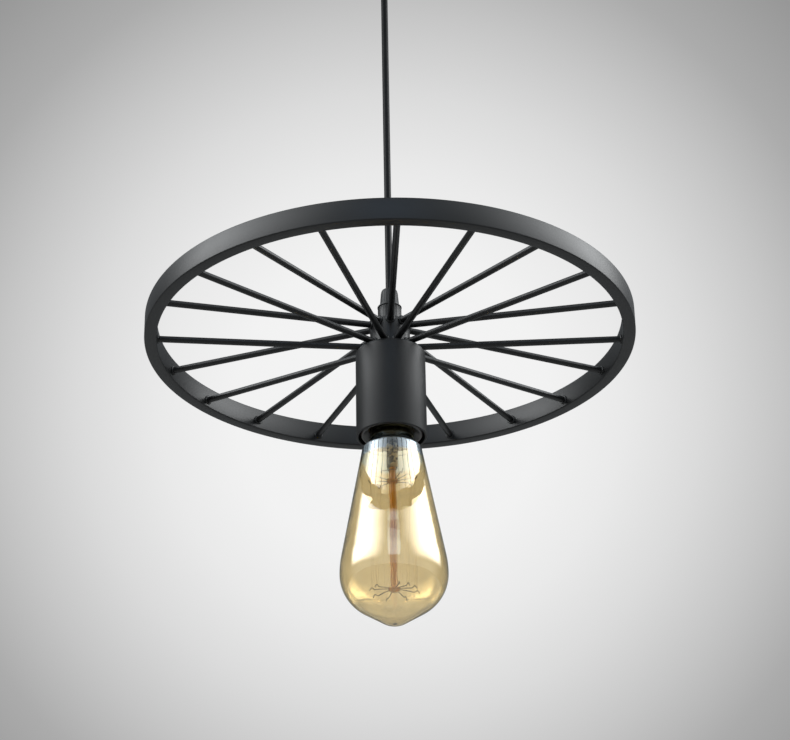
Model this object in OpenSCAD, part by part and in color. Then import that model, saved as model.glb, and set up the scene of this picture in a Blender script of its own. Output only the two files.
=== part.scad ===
// Spoked wheel pendant lamp: a flat round rim, two tiers of spokes and a hub that carries
// a socket cup and a caged-filament bulb, hung on a round flex from a ceiling cup.
// Millimetres. The origin is the middle of the bracket's face on the ceiling, +Z is up.

/* [Hanging] */
// Ceiling to the lower edge of the rim
drop = 330; // [320:5:1200]
// Diameter of the round flex
cord_d = 4.4; // [3.6:0.1:5.4]
// Diameter of one insulated core of the flex
core_d = 1.7; // [1.4:0.1:1.8]

/* [Ceiling bracket] */
// Width of the bracket's strip
bracket_w = 18; // [16:0.5:24]
// Thickness of the bracket's sheet
bracket_t = 1.5; // [1:0.1:2]
// Length of each ear, down from the ceiling
ear_drop = 13; // [12:0.5:18]
// Spacing of the two slots for the ceiling screws
slot_spacing = 60; // [58:1:66]
// Width of a slot
slot_w = 4.5; // [3.5:0.1:5.5]
// Length of a slot, from end to end
slot_len = 13; // [8:0.5:13]
// Diameter of the hole for the house's supply cable
supply_hole_d = 10.5; // [8:0.5:12]

/* [Ceiling cup] */
// Outside diameter of the ceiling cup
canopy_d = 100; // [96:1:140]
// Depth of the ceiling cup
canopy_depth = 25; // [25:1:60]
// Thickness of the ceiling cup's sheet
canopy_wall = 1; // [0.6:0.1:1.6]
// Rounding of the ceiling cup's lower edge
canopy_edge_r = 3; // [2:0.5:8]
// Ceiling to the two side screws
side_screw_drop = 8; // [6.5:0.5:8.5]
// Shank diameter of a side screw
side_screw_d = 3; // [2.5:0.1:4]
// Head diameter of a side screw
side_screw_head_d = 6; // [5:0.1:7]
// Height of a side screw's head
side_screw_head_h = 1.8; // [1.2:0.1:2.5]

/* [Terminal block] */
// Spacing of the block's poles
pole_pitch = 8; // [7:0.5:9]
// Length of the block, along a wire
block_l = 15; // [13:0.5:15]
// Height of the block
block_h = 11; // [10:0.5:11.5]
// Diameter of a wire's way in
entry_d = 3.2; // [2.6:0.1:4]
// Diameter of a terminal screw
clamp_screw_d = 3.6; // [3:0.1:4]

/* [Cord grips] */
// Diameter of the threaded nipples
nipple_d = 10; // [9:0.1:10.4]
// Bore of the threaded nipples
nipple_bore_d = 6.6; // [6:0.1:7.4]
// Diameter of a grip's body
grip_d = 14.6; // [13.6:0.1:18]
// Height of a grip's body
grip_h = 11; // [9:0.5:13]
// Diameter of the ring between a grip's body and its nut
grip_ring_d = 15; // [14:0.1:19]
// Height of that ring
grip_ring_h = 1; // [0.6:0.1:2]
// Diameter of the grip's nut where it meets the ring
grip_nut_d = 12.2; // [11.6:0.1:13.5]
// Diameter of the grip's nut at its rounded end
grip_nut_end_d = 10; // [9:0.1:11]
// Height of the grip's nut
grip_nut_h = 12; // [11:0.5:16]
// Depth of the lengthwise finger grooves on a grip
groove_depth = 0.25; // [0.1:0.05:0.4]
// Height of the hexagon nuts on the nipples
nut_h = 3.5; // [2.5:0.1:4]
// Hexagon nuts, across their flats
nut_flats = 14; // [13:0.5:17]

/* [Wheel] */
// Outside diameter of the rim
rim_d = 300; // [260:5:420]
// Thickness of the rim's bar, from its outer to its inner face
rim_t = 7.6; // [5:0.2:12]
// Height of the rim's band
rim_h = 14.3; // [12:0.1:30]
// Rounding along the rim's edges
rim_edge_r = 0.8; // [0.3:0.1:1.6]
// Number of spokes, half of them in each tier
spoke_count = 20; // [12:2:24]
// Diameter of a spoke
spoke_d = 4; // [3:0.1:4.6]
// Turn of the wheel: the direction of the first upper spoke
first_spoke_deg = 198; // [180:1:216]
// Height of the upper spokes above the rim's lower edge, at the rim
upper_rim_z = 5.9; // [4.5:0.1:9]
// Height of the lower spokes above the rim's lower edge, at the rim
lower_rim_z = 4.9; // [4:0.1:9]
// Width of the weld bead round a spoke's ends
weld_leg = 0.9; // [0.4:0.1:1.2]

/* [Hub] */
// Diameter of the hub
hub_d = 24.5; // [23:0.5:30]
// Height of the hub
hub_h = 19.6; // [16:0.2:26]
// How far the hub's top stands above the rim's lower edge
hub_rise = 15; // [12:0.5:20]
// How far the upper spokes' centres lie under the hub's top
upper_spoke_down = 2.2; // [2.2:0.1:4]
// How far the lower spokes' centres lie above the hub's foot
lower_spoke_up = 3.7; // [3.4:0.1:5]

/* [Socket cup] */
// Outside diameter of the socket cup
cup_d = 42.6; // [41:0.1:50]
// Height of the socket cup
cup_h = 57.4; // [54:0.2:80]
// Thickness of the socket cup's wall
cup_wall = 1.3; // [0.8:0.1:1.8]
// Rounding of the cup's shoulder
cup_shoulder_r = 2.6; // [2:0.1:5]

/* [Lampholder] */
// Outside diameter of the lampholder's skirt
skirt_d = 37.2; // [36:0.1:38]
// How far the skirt ends inside the cup's mouth
skirt_recess = 1; // [0.4:0.1:2]
// Length of the skirt
skirt_l = 23; // [21:0.5:25]
// Inside diameter of the lampholder's screw shell
shell_d = 26.8; // [26.8:0.1:27.2]
// Thickness of the screw shell's sheet
shell_wall = 0.7; // [0.4:0.1:0.8]
// Thickness of the plate that carries the contacts
plate_t = 4; // [3:0.5:4.5]
// Thickness of the centre contact's strip
tongue_t = 0.4; // [0.3:0.05:0.6]
// Width of the centre contact's strip
tongue_w = 5; // [4:0.5:7]

/* [Bulb cap] */
// Clearance all round between the bulb cap and the screw shell
cap_play = 0.8; // [0.5:0.1:1.1]
// How far the bulb cap's rim stands out past its screwed part
cap_flare = 0.7; // [0.4:0.1:0.9]
// Height of the bulb cap from its rim to its contact
cap_h = 27; // [26:0.5:28]
// Thickness of the bulb cap's sheet
cap_wall = 0.4; // [0.3:0.1:0.6]
// How far the bulb cap's rim stands out of the cup's mouth
cap_stand = 1.5; // [1:0.1:3]
// Diameter of the bulb's end contact
tip_d = 9.4; // [8:0.2:11]

/* [Bulb glass] */
// Largest diameter of the glass
bulb_d = 63.5; // [60:0.5:70]
// Bulb cap's rim to the widest place of the glass
bulb_belly_drop = 86.5; // [82:0.5:95]
// Slope of the long flare, from upright
flare_deg = 10.6; // [9.5:0.1:11.4]
// Radius of the curve from the flare to the widest place
upper_belly_r = 60; // [40:1:80]
// Radius of the curve under the widest place
lower_belly_r = 25; // [23:0.5:27]
// Slope of the nose, from upright
nose_deg = 57; // [54:0.5:60]
// Radius of the rounded tip
tip_r = 14; // [6:0.5:16]
// Radius of the shoulder
shoulder_r = 6; // [4.5:0.5:6.5]
// Thickness of the glass
glass_t = 0.8; // [0.5:0.1:1.2]

/* [Filament cage] */
// Bulb cap's rim to the end of the stem's flat press
press_drop = 18.5; // [17:0.5:22]
// Width of the press
press_w = 7.4; // [7:0.1:9]
// Thickness of the press
press_t = 3.4; // [3:0.1:4.5]
// Diameter of the glass rod
rod_d = 4.1; // [3:0.1:5]
// Bulb cap's rim to the middle of the upper hooks' button
upper_button_drop = 27.5; // [26:0.5:36]
// Bulb cap's rim to the middle of the lower hooks' button
lower_button_drop = 96; // [90:0.5:99]
// Diameter of the glass buttons that hold the hooks
button_d = 7; // [6:0.1:8]
// Height of the glass buttons
button_h = 2.4; // [2:0.1:3.5]
// Wire diameter of the hooks and leads
hook_wire_d = 0.44; // [0.3:0.02:0.6]
// Rod's axis to the crook of each hook
hook_reach = 13.4; // [12:0.1:14]
// Wire diameter of the filament
filament_d = 0.24; // [0.15:0.01:0.3]
// How far the two leads stand from the first and last of those hooks
lead_deg = 20; // [16:1:24]

/* [Hidden] */
$fn = 96;

// Clearances
seat_gap = 0.05;       // between pieces that seat on each other but aren't welded
thread_gap = 0.05;     // round a thread
slip_gap = 0.1;        // round a piece that slips into another
weld_gap = 0.05;       // under a weld bead
swing_gap = 0.3;       // round the bend of the flex
mouth_gap = 1;         // from the upper grip's end to the bend
screw_gap = 0.1;       // round a screw's shank
ear_gap = 0.3;         // from the bracket's ears to the ceiling cup
eps = 0.01;            // makes a cut pass clean through a face

// Heights, from the ceiling down
grip_total = grip_h + grip_ring_h + grip_nut_h;
z_canopy = -canopy_depth;
z_bend = z_canopy - grip_total - mouth_gap;
z_rim = -drop;
z_hub_top = z_rim + hub_rise;
z_hub_foot = z_hub_top - hub_h;
z_cup_mouth = z_hub_foot - cup_h;
z_cap_rim = z_cup_mouth - cap_stand;
z_tip = z_cap_rim + cap_h;
z_cup_nut = z_hub_foot - cup_wall;
z_holder_top = z_cup_nut - nut_h - slip_gap;
z_skirt_mouth = z_cup_mouth + skirt_recess;
z_skirt_top = z_skirt_mouth + skirt_l;

// The flex and its cores
cord_r = cord_d / 2;
cord_end = 9;          // how far the flex's free stretch reaches into the lower grip
strip_len = 4;         // sheath that stands out of a nipple before the cores part
z_cord_top = z_bend - cord_r - swing_gap;
z_cord_end = z_hub_top + grip_total - cord_end;
// points that the taut flex runs through, from the ceiling's grip down into the hub's
cord_route = [[0, 0, z_cord_top], [0, 0, -90], [0, 0, -140], [0, 0, -190], [0, 0, -240],
              [0, 0, z_cord_end]];
cord_sides = 10;
rings_per_run = 4;
core_ring_r = (cord_d - core_d) / 2 - 0.2;
core_sides = 8;
pole_count = 3;

// Nipples, nuts and grips
nipple_r = nipple_d / 2;
nipple_in_grip = 6.5;
grip_thread_h = nipple_in_grip + 0.5;
grip_web_h = 1;
nipple_in_boss = 8;
nipple_past_nut = 1.5;
spigot_h = 5;
spigot_r = grip_nut_end_d / 2 - 0.4;
seal_r = spigot_r - 1.1;
cord_hole_r = cord_r + 0.4;
groove_count = 18;
groove_r = 0.8;
z_canopy_floor = z_canopy + canopy_wall;
z_canopy_nipple = z_canopy_floor + nut_h + nipple_past_nut;
z_flex_top = z_canopy_nipple + strip_len;

// Ceiling bracket, cup and terminal block
canopy_in_r = canopy_d / 2 - canopy_wall;
ear_x = sqrt(pow(canopy_in_r, 2) - pow(bracket_w / 2, 2)) - ear_gap;
side_screw_l = 5;
block_x = 7;
block_w = pole_count * pole_pitch + 2;
entry_z = -bracket_t - block_h * 0.62;
clamp_x = [block_x + block_l * 0.27, block_x + block_l * 0.73];
clamp_well = block_h - (-bracket_t - entry_z) - entry_d / 2 - 0.4;

// Wheel
rim_in_r = rim_d / 2 - rim_t;
tier_count = spoke_count / 2;
tier_step = 360 / tier_count;
spoke_r = spoke_d / 2;
z_spoke_ends = [[z_hub_top - upper_spoke_down, z_rim + upper_rim_z],
                [z_hub_foot + lower_spoke_up, z_rim + lower_rim_z]];

// Lampholder
skirt_r = skirt_d / 2;
holder_cap_r = skirt_r - 0.6;
collar_h = 6;                                  // where the skirt screws over the cap
collar_r = skirt_r - 2.1;
shell_out_r = shell_d / 2 + shell_wall;
shell_lip = 4;                                 // the shell's inward turned end
cap_d = shell_d - 2 * cap_play;                // the bulb cap screws into the shell
cap_rim_d = cap_d + 2 * cap_flare;
tongue_foot_x = shell_out_r - shell_lip - 1.1;
tongue_bend_x = tongue_foot_x - 4;
tongue_fall = 3;                               // from the plate to the middle of the tongue
z_tongue = z_tip + seat_gap;                   // underside of the tongue over the bulb
z_plate = z_tongue + tongue_t + tongue_fall;   // lower face of the contact plate
z_shell_foot = z_skirt_mouth + 5;
z_shell_top = z_plate - seat_gap;
boss_r = nipple_r + 3;
boss_h = 3.5;
dome_h = 6;
z_cap_room = z_holder_top - nipple_in_boss - 1.5;
z_nipple_foot = z_holder_top - nipple_in_boss;
z_flex_foot = z_nipple_foot - strip_len;
wire_r = 8;                                    // ring on which the cores meet the plate

// Bulb
belly_r = bulb_d / 2;
z_belly = z_cap_rim - bulb_belly_drop;
neck_r = cap_d / 2 - cap_wall - slip_gap;       // the glass ends inside the cap
z_neck_top = z_cap_rim + 6.5;
z_insulator = z_tip - 5.5;
z_press = z_cap_rim - press_drop;
z_upper_button = z_cap_rim - upper_button_drop;
z_lower_button = z_cap_rim - lower_button_drop;
hook_wire_r = hook_wire_d / 2;
lead_gap = 0.3;                                // from the leads to the glass rod
press_lead_r = rod_d / 2 + hook_wire_r + lead_gap;
hang_gap = 0.75;                               // from a hook's crook to the loop on it
loop_half = 0.55;                              // half the width of a loop of filament
// directions of the lower hooks, one after another round the cage, bent by hand
lower_hook_deg = [280, 305, 330, 365, 418, 467, 504, 553, 580];
hook_count = len(lower_hook_deg);
// each upper hook stands between two lower ones
upper_hook_deg = [for (i = [0:hook_count - 2]) (lower_hook_deg[i] + lower_hook_deg[i + 1]) / 2];
lead_ends_deg = [lower_hook_deg[0] - lead_deg, lower_hook_deg[hook_count - 1] + lead_deg];
press_deg = (lead_ends_deg[0] + lead_ends_deg[1] - 360) / 2 + 90;

function two_digits(n) = n < 10 ? str("0", n) : str(n);
upper_spokes = [for (i = [1:tier_count]) str("upper_spoke_", two_digits(i))];
lower_spokes = [for (i = [1:tier_count]) str("lower_spoke_", two_digits(i))];

// Colours
satin_black = "#1b1b1d";
zinc = "#b9bcc0";
brass = "#c9a35a";
phenolic = "#241f1d";
amber = [0.83, 0.72, 0.45, 0.35];

// ---- Points, arcs and swept tubes ----

// Points of an arc round a centre, from one angle to another
function arc(centre, r, from, to, steps = 8) =
    [for (i = [0:steps]) let (a = from + (to - from) * i / steps) centre + r * [cos(a), sin(a)]];

function unit(v) = v / norm(v);
function square_to(v, t) = unit(v - (v * t) * t);
function heading(p, i) = unit(p[min(i + 1, len(p) - 1)] - p[max(i - 1, 0)]);

// Side vectors carried along a path, each square to the path where it stands
function side_vectors(p) =
    [for (i = 0, s = square_to(abs(heading(p, 0).z) > 0.9 ? [1, 0, 0] : [0, 0, 1], heading(p, 0));
          i < len(p);
          i = i + 1, s = i < len(p) ? square_to(s, heading(p, i)) : s) s];

// Point numbers of the triangles between two neighbouring rings, and over an end
function band(ring, sides) =
    [for (k = [0:sides - 1], half = [0, 1])
        let (a = ring * sides + k, b = ring * sides + (k + 1) % sides)
        half == 0 ? [a, a + sides, b + sides] : [a, b + sides, b]];
function end_fan(first, sides, flip) =
    [for (k = [1:sides - 2]) flip ? [first, first + k + 1, first + k]
                                  : [first, first + k, first + k + 1]];

// One closed tube along the points of a path
module tube(path, r, sides) {
    n = len(path);
    side = side_vectors(path);
    points = [for (i = [0:n - 1], k = [0:sides - 1])
        let (a = 360 * k / sides)
        path[i] + r * (cos(a) * side[i] + sin(a) * cross(heading(path, i), side[i]))];
    faces = concat(end_fan(0, sides, false),
                   [for (ring = [0:n - 2]) each band(ring, sides)],
                   end_fan((n - 1) * sides, sides, true));
    polyhedron(points = points, faces = faces, convexity = 6);
}

// A route with every run cut into equal steps
function stepped(route, steps) = concat(
    [for (i = [0:len(route) - 2], j = [0:steps - 1])
        route[i] + (route[i + 1] - route[i]) * j / steps],
    [route[len(route) - 1]]);

// A point at a height on a circle round the axis
function around(r, deg, z) = [r * cos(deg), r * sin(deg), z];

// ---- Plain round shapes ----

// A round bar or bush that stands on a height
module bush(z, h, r, bore = 0)
    translate([0, 0, z])
        difference() {
            cylinder(h = h, r = r);
            if (bore > 0) translate([0, 0, -eps]) cylinder(h = h + 2 * eps, r = bore);
        }

// A hexagon nut that stands on a height
module hex_nut(z, h)
    translate([0, 0, z])
        difference() {
            cylinder(h = h, r = nut_flats / 2 / cos(30), $fn = 6);
            translate([0, 0, -eps]) cylinder(h = h + 2 * eps, r = nipple_r + thread_gap);
        }

// A rectangle with round corners, from its lower corner
module round_rect(w, h, r) {
    translate([r, 0]) square([w - 2 * r, h]);
    translate([0, r]) square([w, h - 2 * r]);
    for (x = [r, w - r], y = [r, h - r]) translate([x, y]) circle(r = r, $fn = 32);
}

// A slot through a plate, centred, with round ends along X
module slot(length, w, h)
    linear_extrude(h) {
        square([length - w, w], center = true);
        for (x = [-1, 1]) translate([x * (length - w) / 2, 0]) circle(d = w, $fn = 48);
    }

// ---- Ceiling side ----

module ceiling_bracket() color(zinc) {
    difference() {
        union() {
            translate([-ear_x, -bracket_w / 2, -bracket_t]) cube([2 * ear_x, bracket_w, bracket_t]);
            for (side = [0, 1]) mirror([side, 0, 0])
                translate([ear_x - bracket_t, -bracket_w / 2, -ear_drop])
                    cube([bracket_t, bracket_w, ear_drop]);
        }
        for (x = [-1, 1])
            translate([x * slot_spacing / 2, 0, -bracket_t - eps])
                slot(slot_len, slot_w, bracket_t + 2 * eps);
        translate([0, 0, -bracket_t - eps]) cylinder(h = bracket_t + 2 * eps, d = supply_hole_d);
        translate([-ear_x - 1, 0, -side_screw_drop]) rotate([0, 90, 0])
            cylinder(h = 2 * ear_x + 2, d = side_screw_d + 2 * screw_gap, $fn = 32);
    }
}

module canopy() color(satin_black)
    difference() {
        rotate_extrude(angle = 360) polygon(concat(
            [[canopy_in_r, 0], [canopy_d / 2, 0]],
            arc([canopy_d / 2 - canopy_edge_r, z_canopy + canopy_edge_r], canopy_edge_r, 0, -90),
            [[nipple_r + slip_gap, z_canopy], [nipple_r + slip_gap, z_canopy_floor]],
            arc([canopy_d / 2 - canopy_edge_r, z_canopy + canopy_edge_r],
                canopy_edge_r - canopy_wall, -90, 0)));
        translate([-canopy_d / 2 - 1, 0, -side_screw_drop]) rotate([0, 90, 0])
            cylinder(h = canopy_d + 2, d = side_screw_d + 2 * screw_gap, $fn = 32);
    }

module canopy_screws() color(satin_black)
    for (side = [0, 1]) mirror([side, 0, 0])
        translate([canopy_d / 2, 0, -side_screw_drop]) rotate([0, 90, 0]) {
            translate([0, 0, -side_screw_l]) cylinder(h = side_screw_l, d = side_screw_d, $fn = 32);
            difference() {
                cylinder(h = side_screw_head_h, d = side_screw_head_d, $fn = 48);
                translate([-side_screw_head_d / 2, -0.5, side_screw_head_h * 0.5])
                    cube([side_screw_head_d, 1, side_screw_head_h]);
            }
        }

// The block's poles stand side by side along Y, and a wire runs through each along X
function pole_y(k) = (k - (pole_count - 1) / 2) * pole_pitch;

module terminal_block() color("#e9e6dc")
    difference() {
        translate([block_x, -block_w / 2, -bracket_t - block_h]) cube([block_l, block_w, block_h]);
        for (k = [0:pole_count - 1]) {
            translate([block_x - eps, pole_y(k), entry_z]) rotate([0, 90, 0])
                cylinder(h = block_l + 2 * eps, d = entry_d, $fn = 32);
            for (x = clamp_x) translate([x, pole_y(k), -bracket_t - block_h - eps])
                cylinder(h = clamp_well + eps, d = clamp_screw_d + 2 * screw_gap, $fn = 32);
        }
    }

module terminal_screws() color(zinc)
    for (k = [0:pole_count - 1], x = clamp_x)
        translate([x, pole_y(k), -bracket_t - block_h])
            difference() {
                cylinder(h = clamp_well - seat_gap, d = clamp_screw_d, $fn = 32);
                translate([-clamp_screw_d / 2, -0.3, -eps]) cube([clamp_screw_d, 0.6, 0.8]);
            }

module canopy_nipple() color(zinc)
    bush(z_canopy - nipple_in_grip, z_canopy_nipple - z_canopy + nipple_in_grip,
         nipple_r, nipple_bore_d / 2);

module canopy_locknut() color(zinc) hex_nut(z_canopy_floor, nut_h);

module ceiling_flex_end() color(satin_black)
    bush(z_bend + cord_r + swing_gap, z_flex_top - z_bend - cord_r - swing_gap, cord_r);

// A core leaves the flex at its own place round the axis and bends over into its pole
function ceiling_core(k) =
    let (deg = 120 * (k - 1), y = pole_y(k), start_z = z_flex_top + seat_gap)
    [around(core_ring_r, deg, start_z),
     around(core_ring_r, deg, start_z + (entry_z - start_z) * 0.3),
     [1.4, y * 0.3, start_z + (entry_z - start_z) * 0.8],
     [block_x * 0.6, y * 0.8, entry_z],
     [block_x, y, entry_z],
     [block_x + block_l * 0.4, y, entry_z]];

module ceiling_cores()
    for (k = [0:pole_count - 1]) color(["#7a4a25", "#3f6fb3", "#7fa63a"][k])
        tube(ceiling_core(k), core_d / 2, core_sides);

// ---- Cord grips, drawn standing on the face that they screw down on ----

// Lengthwise cutters round a grip, leaning in as its side does
module grooves(z, h, foot_r, head_r)
    for (i = [0:groove_count - 1]) rotate([0, 0, 360 * i / groove_count])
        translate([foot_r + groove_r - groove_depth, 0, z])
            rotate([0, -atan2(foot_r - head_r, h), 0]) cylinder(h = h, r = groove_r, $fn = 16);

module grip_body() difference() {
    union() {
        cylinder(h = grip_h, d = grip_d);
        translate([0, 0, grip_h]) cylinder(h = grip_ring_h, d = grip_ring_d);
        translate([0, 0, grip_h + grip_ring_h]) cylinder(h = spigot_h, r = spigot_r);
    }
    translate([0, 0, -eps]) cylinder(h = grip_thread_h + eps, r = nipple_r + thread_gap);
    cylinder(h = grip_total, r = cord_hole_r);
    translate([0, 0, grip_thread_h + grip_web_h]) cylinder(h = grip_total, r = seal_r + slip_gap);
    grooves(1.2, grip_h - 2, grip_d / 2, grip_d / 2);
}

module grip_nut() {
    foot = grip_h + grip_ring_h;
    top_r = 1.6;
    difference() {
        rotate_extrude(angle = 360) polygon(concat(
            [[spigot_r + thread_gap, foot], [grip_nut_d / 2, foot]],
            arc([grip_nut_end_d / 2 - top_r, grip_total - top_r], top_r, 5, 90),
            [[cord_hole_r, grip_total], [cord_hole_r, foot + spigot_h + 4],
             [spigot_r + thread_gap, foot + spigot_h + 0.6]]));
        grooves(foot + 1.4, grip_nut_h - top_r - 1.8, grip_nut_d / 2, grip_nut_end_d / 2);
    }
}

module grip_seal() {
    foot = grip_thread_h + grip_web_h + seat_gap;
    shoulder = grip_h + grip_ring_h + spigot_h + 0.5;
    rotate_extrude(angle = 360) polygon([
        [cord_r + seat_gap, foot], [seal_r, foot], [seal_r, shoulder],
        [cord_hole_r + 0.1, shoulder + 2.2], [cord_r + seat_gap, shoulder + 2.2]]);
}

// The upper grip hangs upside down under the ceiling cup
module under_canopy() translate([0, 0, z_canopy]) mirror([0, 0, 1]) children();
module on_hub() translate([0, 0, z_hub_top]) children();

module canopy_grip_body() color(satin_black) under_canopy() grip_body();
module canopy_grip_nut() color(satin_black) under_canopy() grip_nut();
module canopy_grip_seal() color("#3a3a3a") under_canopy() grip_seal();
module hub_grip_body() color(satin_black) on_hub() grip_body();
module hub_grip_nut() color(satin_black) on_hub() grip_nut();
module hub_grip_seal() color("#3a3a3a") on_hub() grip_seal();

// ---- Flex ----

module cord_bend() color(satin_black) translate([0, 0, z_bend]) sphere(r = cord_r);

module cord() color(satin_black) tube(stepped(cord_route, rings_per_run), cord_r, cord_sides);

module lamp_flex_end() color(satin_black)
    bush(z_flex_foot, z_cord_end - z_flex_foot - seat_gap, cord_r);

// A core leaves the flex and bends out to its terminal on the contact plate
function lamp_core(k) =
    let (deg = 120 * k + 30, top = z_flex_foot - seat_gap,
         foot = z_plate + plate_t + seat_gap, fall = top - foot)
    [around(core_ring_r, deg, top),
     around(core_ring_r, deg, top - fall * 0.15),
     around(core_ring_r * 1.5, deg, top - fall * 0.3),
     around(wire_r * 0.5, deg, top - fall * 0.55),
     around(wire_r * 0.85, deg, top - fall * 0.7),
     around(wire_r, deg, top - fall * 0.85),
     around(wire_r, deg, foot)];

module lamp_cores()
    for (k = [0:pole_count - 1]) color(["#7a4a25", "#3f6fb3", "#7fa63a"][k])
        tube(lamp_core(k), core_d / 2, core_sides);

// ---- Wheel ----

module hub_nipple() color(zinc)
    bush(z_nipple_foot, z_hub_top + nipple_in_grip - z_nipple_foot, nipple_r, nipple_bore_d / 2);

module hub() color(satin_black) bush(z_hub_foot, hub_h, hub_d / 2, nipple_r + slip_gap);

module rim() color(satin_black)
    rotate_extrude(angle = 360, $fn = 180)
        translate([rim_in_r, z_rim]) round_rect(rim_t, rim_h, rim_edge_r);

// A spoke slopes from the hub to the rim, with a weld bead at each end
module spoke(tier, deg) {
    hub_z = z_spoke_ends[tier][0];
    rim_z = z_spoke_ends[tier][1];
    run = rim_in_r - hub_d / 2;
    slope = atan2(rim_z - hub_z, run);
    length = norm([run, rim_z - hub_z]);
    bead = weld_leg + 0.4;
    color(satin_black) rotate([0, 0, deg])
        intersection() {
            translate([hub_d / 2, 0, hub_z]) rotate([0, 90 - slope, 0]) {
                translate([0, 0, -2]) cylinder(h = length + 4, r = spoke_r, $fn = 48);
                translate([0, 0, -1])
                    cylinder(h = bead + 1, r1 = spoke_r + weld_leg + 1, r2 = spoke_r, $fn = 48);
                translate([0, 0, length - bead])
                    cylinder(h = bead + 1, r1 = spoke_r, r2 = spoke_r + weld_leg + 1, $fn = 48);
            }
            bush(z_hub_foot, z_hub_top + rim_h - z_hub_foot,
                 rim_in_r - weld_gap, hub_d / 2 + weld_gap);
        }
}

function spoke_deg(tier, i) = first_spoke_deg + tier_step * (i + tier / 2);

// ---- Socket cup and lampholder ----

module socket_cup() color(satin_black) {
    centre = [cup_d / 2 - cup_shoulder_r, z_hub_foot - cup_shoulder_r];
    rotate_extrude(angle = 360) polygon(concat(
        [[nipple_r + slip_gap, z_hub_foot]],
        arc(centre, cup_shoulder_r, 90, 0),
        [[cup_d / 2, z_cup_mouth], [cup_d / 2 - cup_wall, z_cup_mouth]],
        arc(centre, cup_shoulder_r - cup_wall, 0, 90),
        [[nipple_r + slip_gap, z_cup_nut]]));
}

module cup_nut() color(zinc) hex_nut(z_cup_nut - nut_h, nut_h);

module lampholder_cap() color(phenolic)
    rotate_extrude(angle = 360) polygon([
        [nipple_r + thread_gap, z_holder_top], [boss_r, z_holder_top],
        [boss_r, z_holder_top - boss_h], [holder_cap_r - 3, z_holder_top - dome_h],
        [holder_cap_r, z_holder_top - dome_h - 3], [holder_cap_r, z_skirt_top + seat_gap],
        [collar_r, z_skirt_top + seat_gap], [collar_r, z_skirt_top - collar_h],
        [shell_out_r + 0.5, z_skirt_top - collar_h], [shell_out_r + 0.5, z_plate + plate_t],
        [shell_out_r - 1.2, z_plate + plate_t], [shell_out_r - 1.2, z_cap_room],
        [nipple_r + thread_gap, z_cap_room]]);

module lampholder_skirt() color(phenolic)
    rotate_extrude(angle = 360) polygon([
        [collar_r + thread_gap, z_skirt_top], [skirt_r, z_skirt_top],
        [skirt_r, z_skirt_mouth + 0.6], [skirt_r - 0.6, z_skirt_mouth],
        [skirt_r - 1.3, z_skirt_mouth], [shell_d / 2 + 0.3, z_shell_foot - 1.8],
        [shell_d / 2 + 0.3, z_shell_foot - seat_gap], [shell_out_r + slip_gap, z_shell_foot - seat_gap],
        [shell_out_r + slip_gap, z_skirt_top - collar_h - seat_gap],
        [collar_r + thread_gap, z_skirt_top - collar_h - seat_gap]]);

module contact_plate() color("#d8d4c8")
    bush(z_plate, plate_t - seat_gap, shell_out_r + 0.4);

module screw_shell() color(brass)
    rotate_extrude(angle = 360) polygon([
        [shell_out_r - shell_lip, z_shell_top], [shell_out_r, z_shell_top],
        [shell_out_r, z_shell_foot], [shell_d / 2, z_shell_foot],
        [shell_d / 2, z_shell_top - shell_wall],
        [shell_out_r - shell_lip, z_shell_top - shell_wall]]);

// The tongue lies flat on the plate at its foot and falls to the middle over the bulb
module centre_contact() color(brass) {
    foot = z_plate - seat_gap;
    translate([0, tongue_w / 2, 0]) rotate([90, 0, 0]) linear_extrude(tongue_w)
        polygon([[tongue_foot_x, foot], [tongue_bend_x, foot], [1.6, z_tongue + tongue_t],
                 [-3, z_tongue + tongue_t], [-3, z_tongue], [1.6 - tongue_t * 0.3, z_tongue],
                 [tongue_bend_x - tongue_t * 0.3, foot - tongue_t],
                 [tongue_foot_x, foot - tongue_t]]);
}

// ---- Bulb ----

// A solder tip, a round bead that stands on the insulator
module bulb_tip() color(zinc)
    rotate_extrude(angle = 360) polygon(concat(
        [[0, z_tip - 2.4], [tip_d / 2, z_tip - 2.4], [tip_d / 2, z_tip - 1.2]],
        arc([tip_d / 2 - 1.8, z_tip - 1.5], 1.5, 0, 90), [[0, z_tip]]));

module cap_insulator() color("#15130f")
    rotate_extrude(angle = 360) polygon([
        [0, z_insulator - 2], [cap_d / 2 - 2.6, z_insulator - 2], [cap_d / 2 - 2.6, z_insulator],
        [cap_d / 2 - 1.4, z_insulator + seat_gap], [cap_d / 2 - 1.4, z_insulator + 0.8],
        [tip_d / 2 + 0.6, z_tip - 2.5], [0, z_tip - 2.5]]);

module bulb_cap() color(brass)
    rotate_extrude(angle = 360) polygon([
        [cap_rim_d / 2, z_cap_rim], [cap_rim_d / 2, z_cap_rim + 2],
        [cap_d / 2, z_cap_rim + 3], [cap_d / 2, z_insulator - 1.6],
        [cap_d / 2 - 1.4, z_insulator], [cap_d / 2 - 2.5, z_insulator],
        [cap_d / 2 - 2.5, z_insulator - cap_wall], [cap_d / 2 - 1.4 - cap_wall, z_insulator - cap_wall],
        [cap_d / 2 - cap_wall, z_insulator - 1.6 - cap_wall], [cap_d / 2 - cap_wall, z_cap_rim + 3],
        [cap_rim_d / 2 - cap_wall, z_cap_rim + 2], [cap_rim_d / 2 - cap_wall, z_cap_rim]]);

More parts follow.
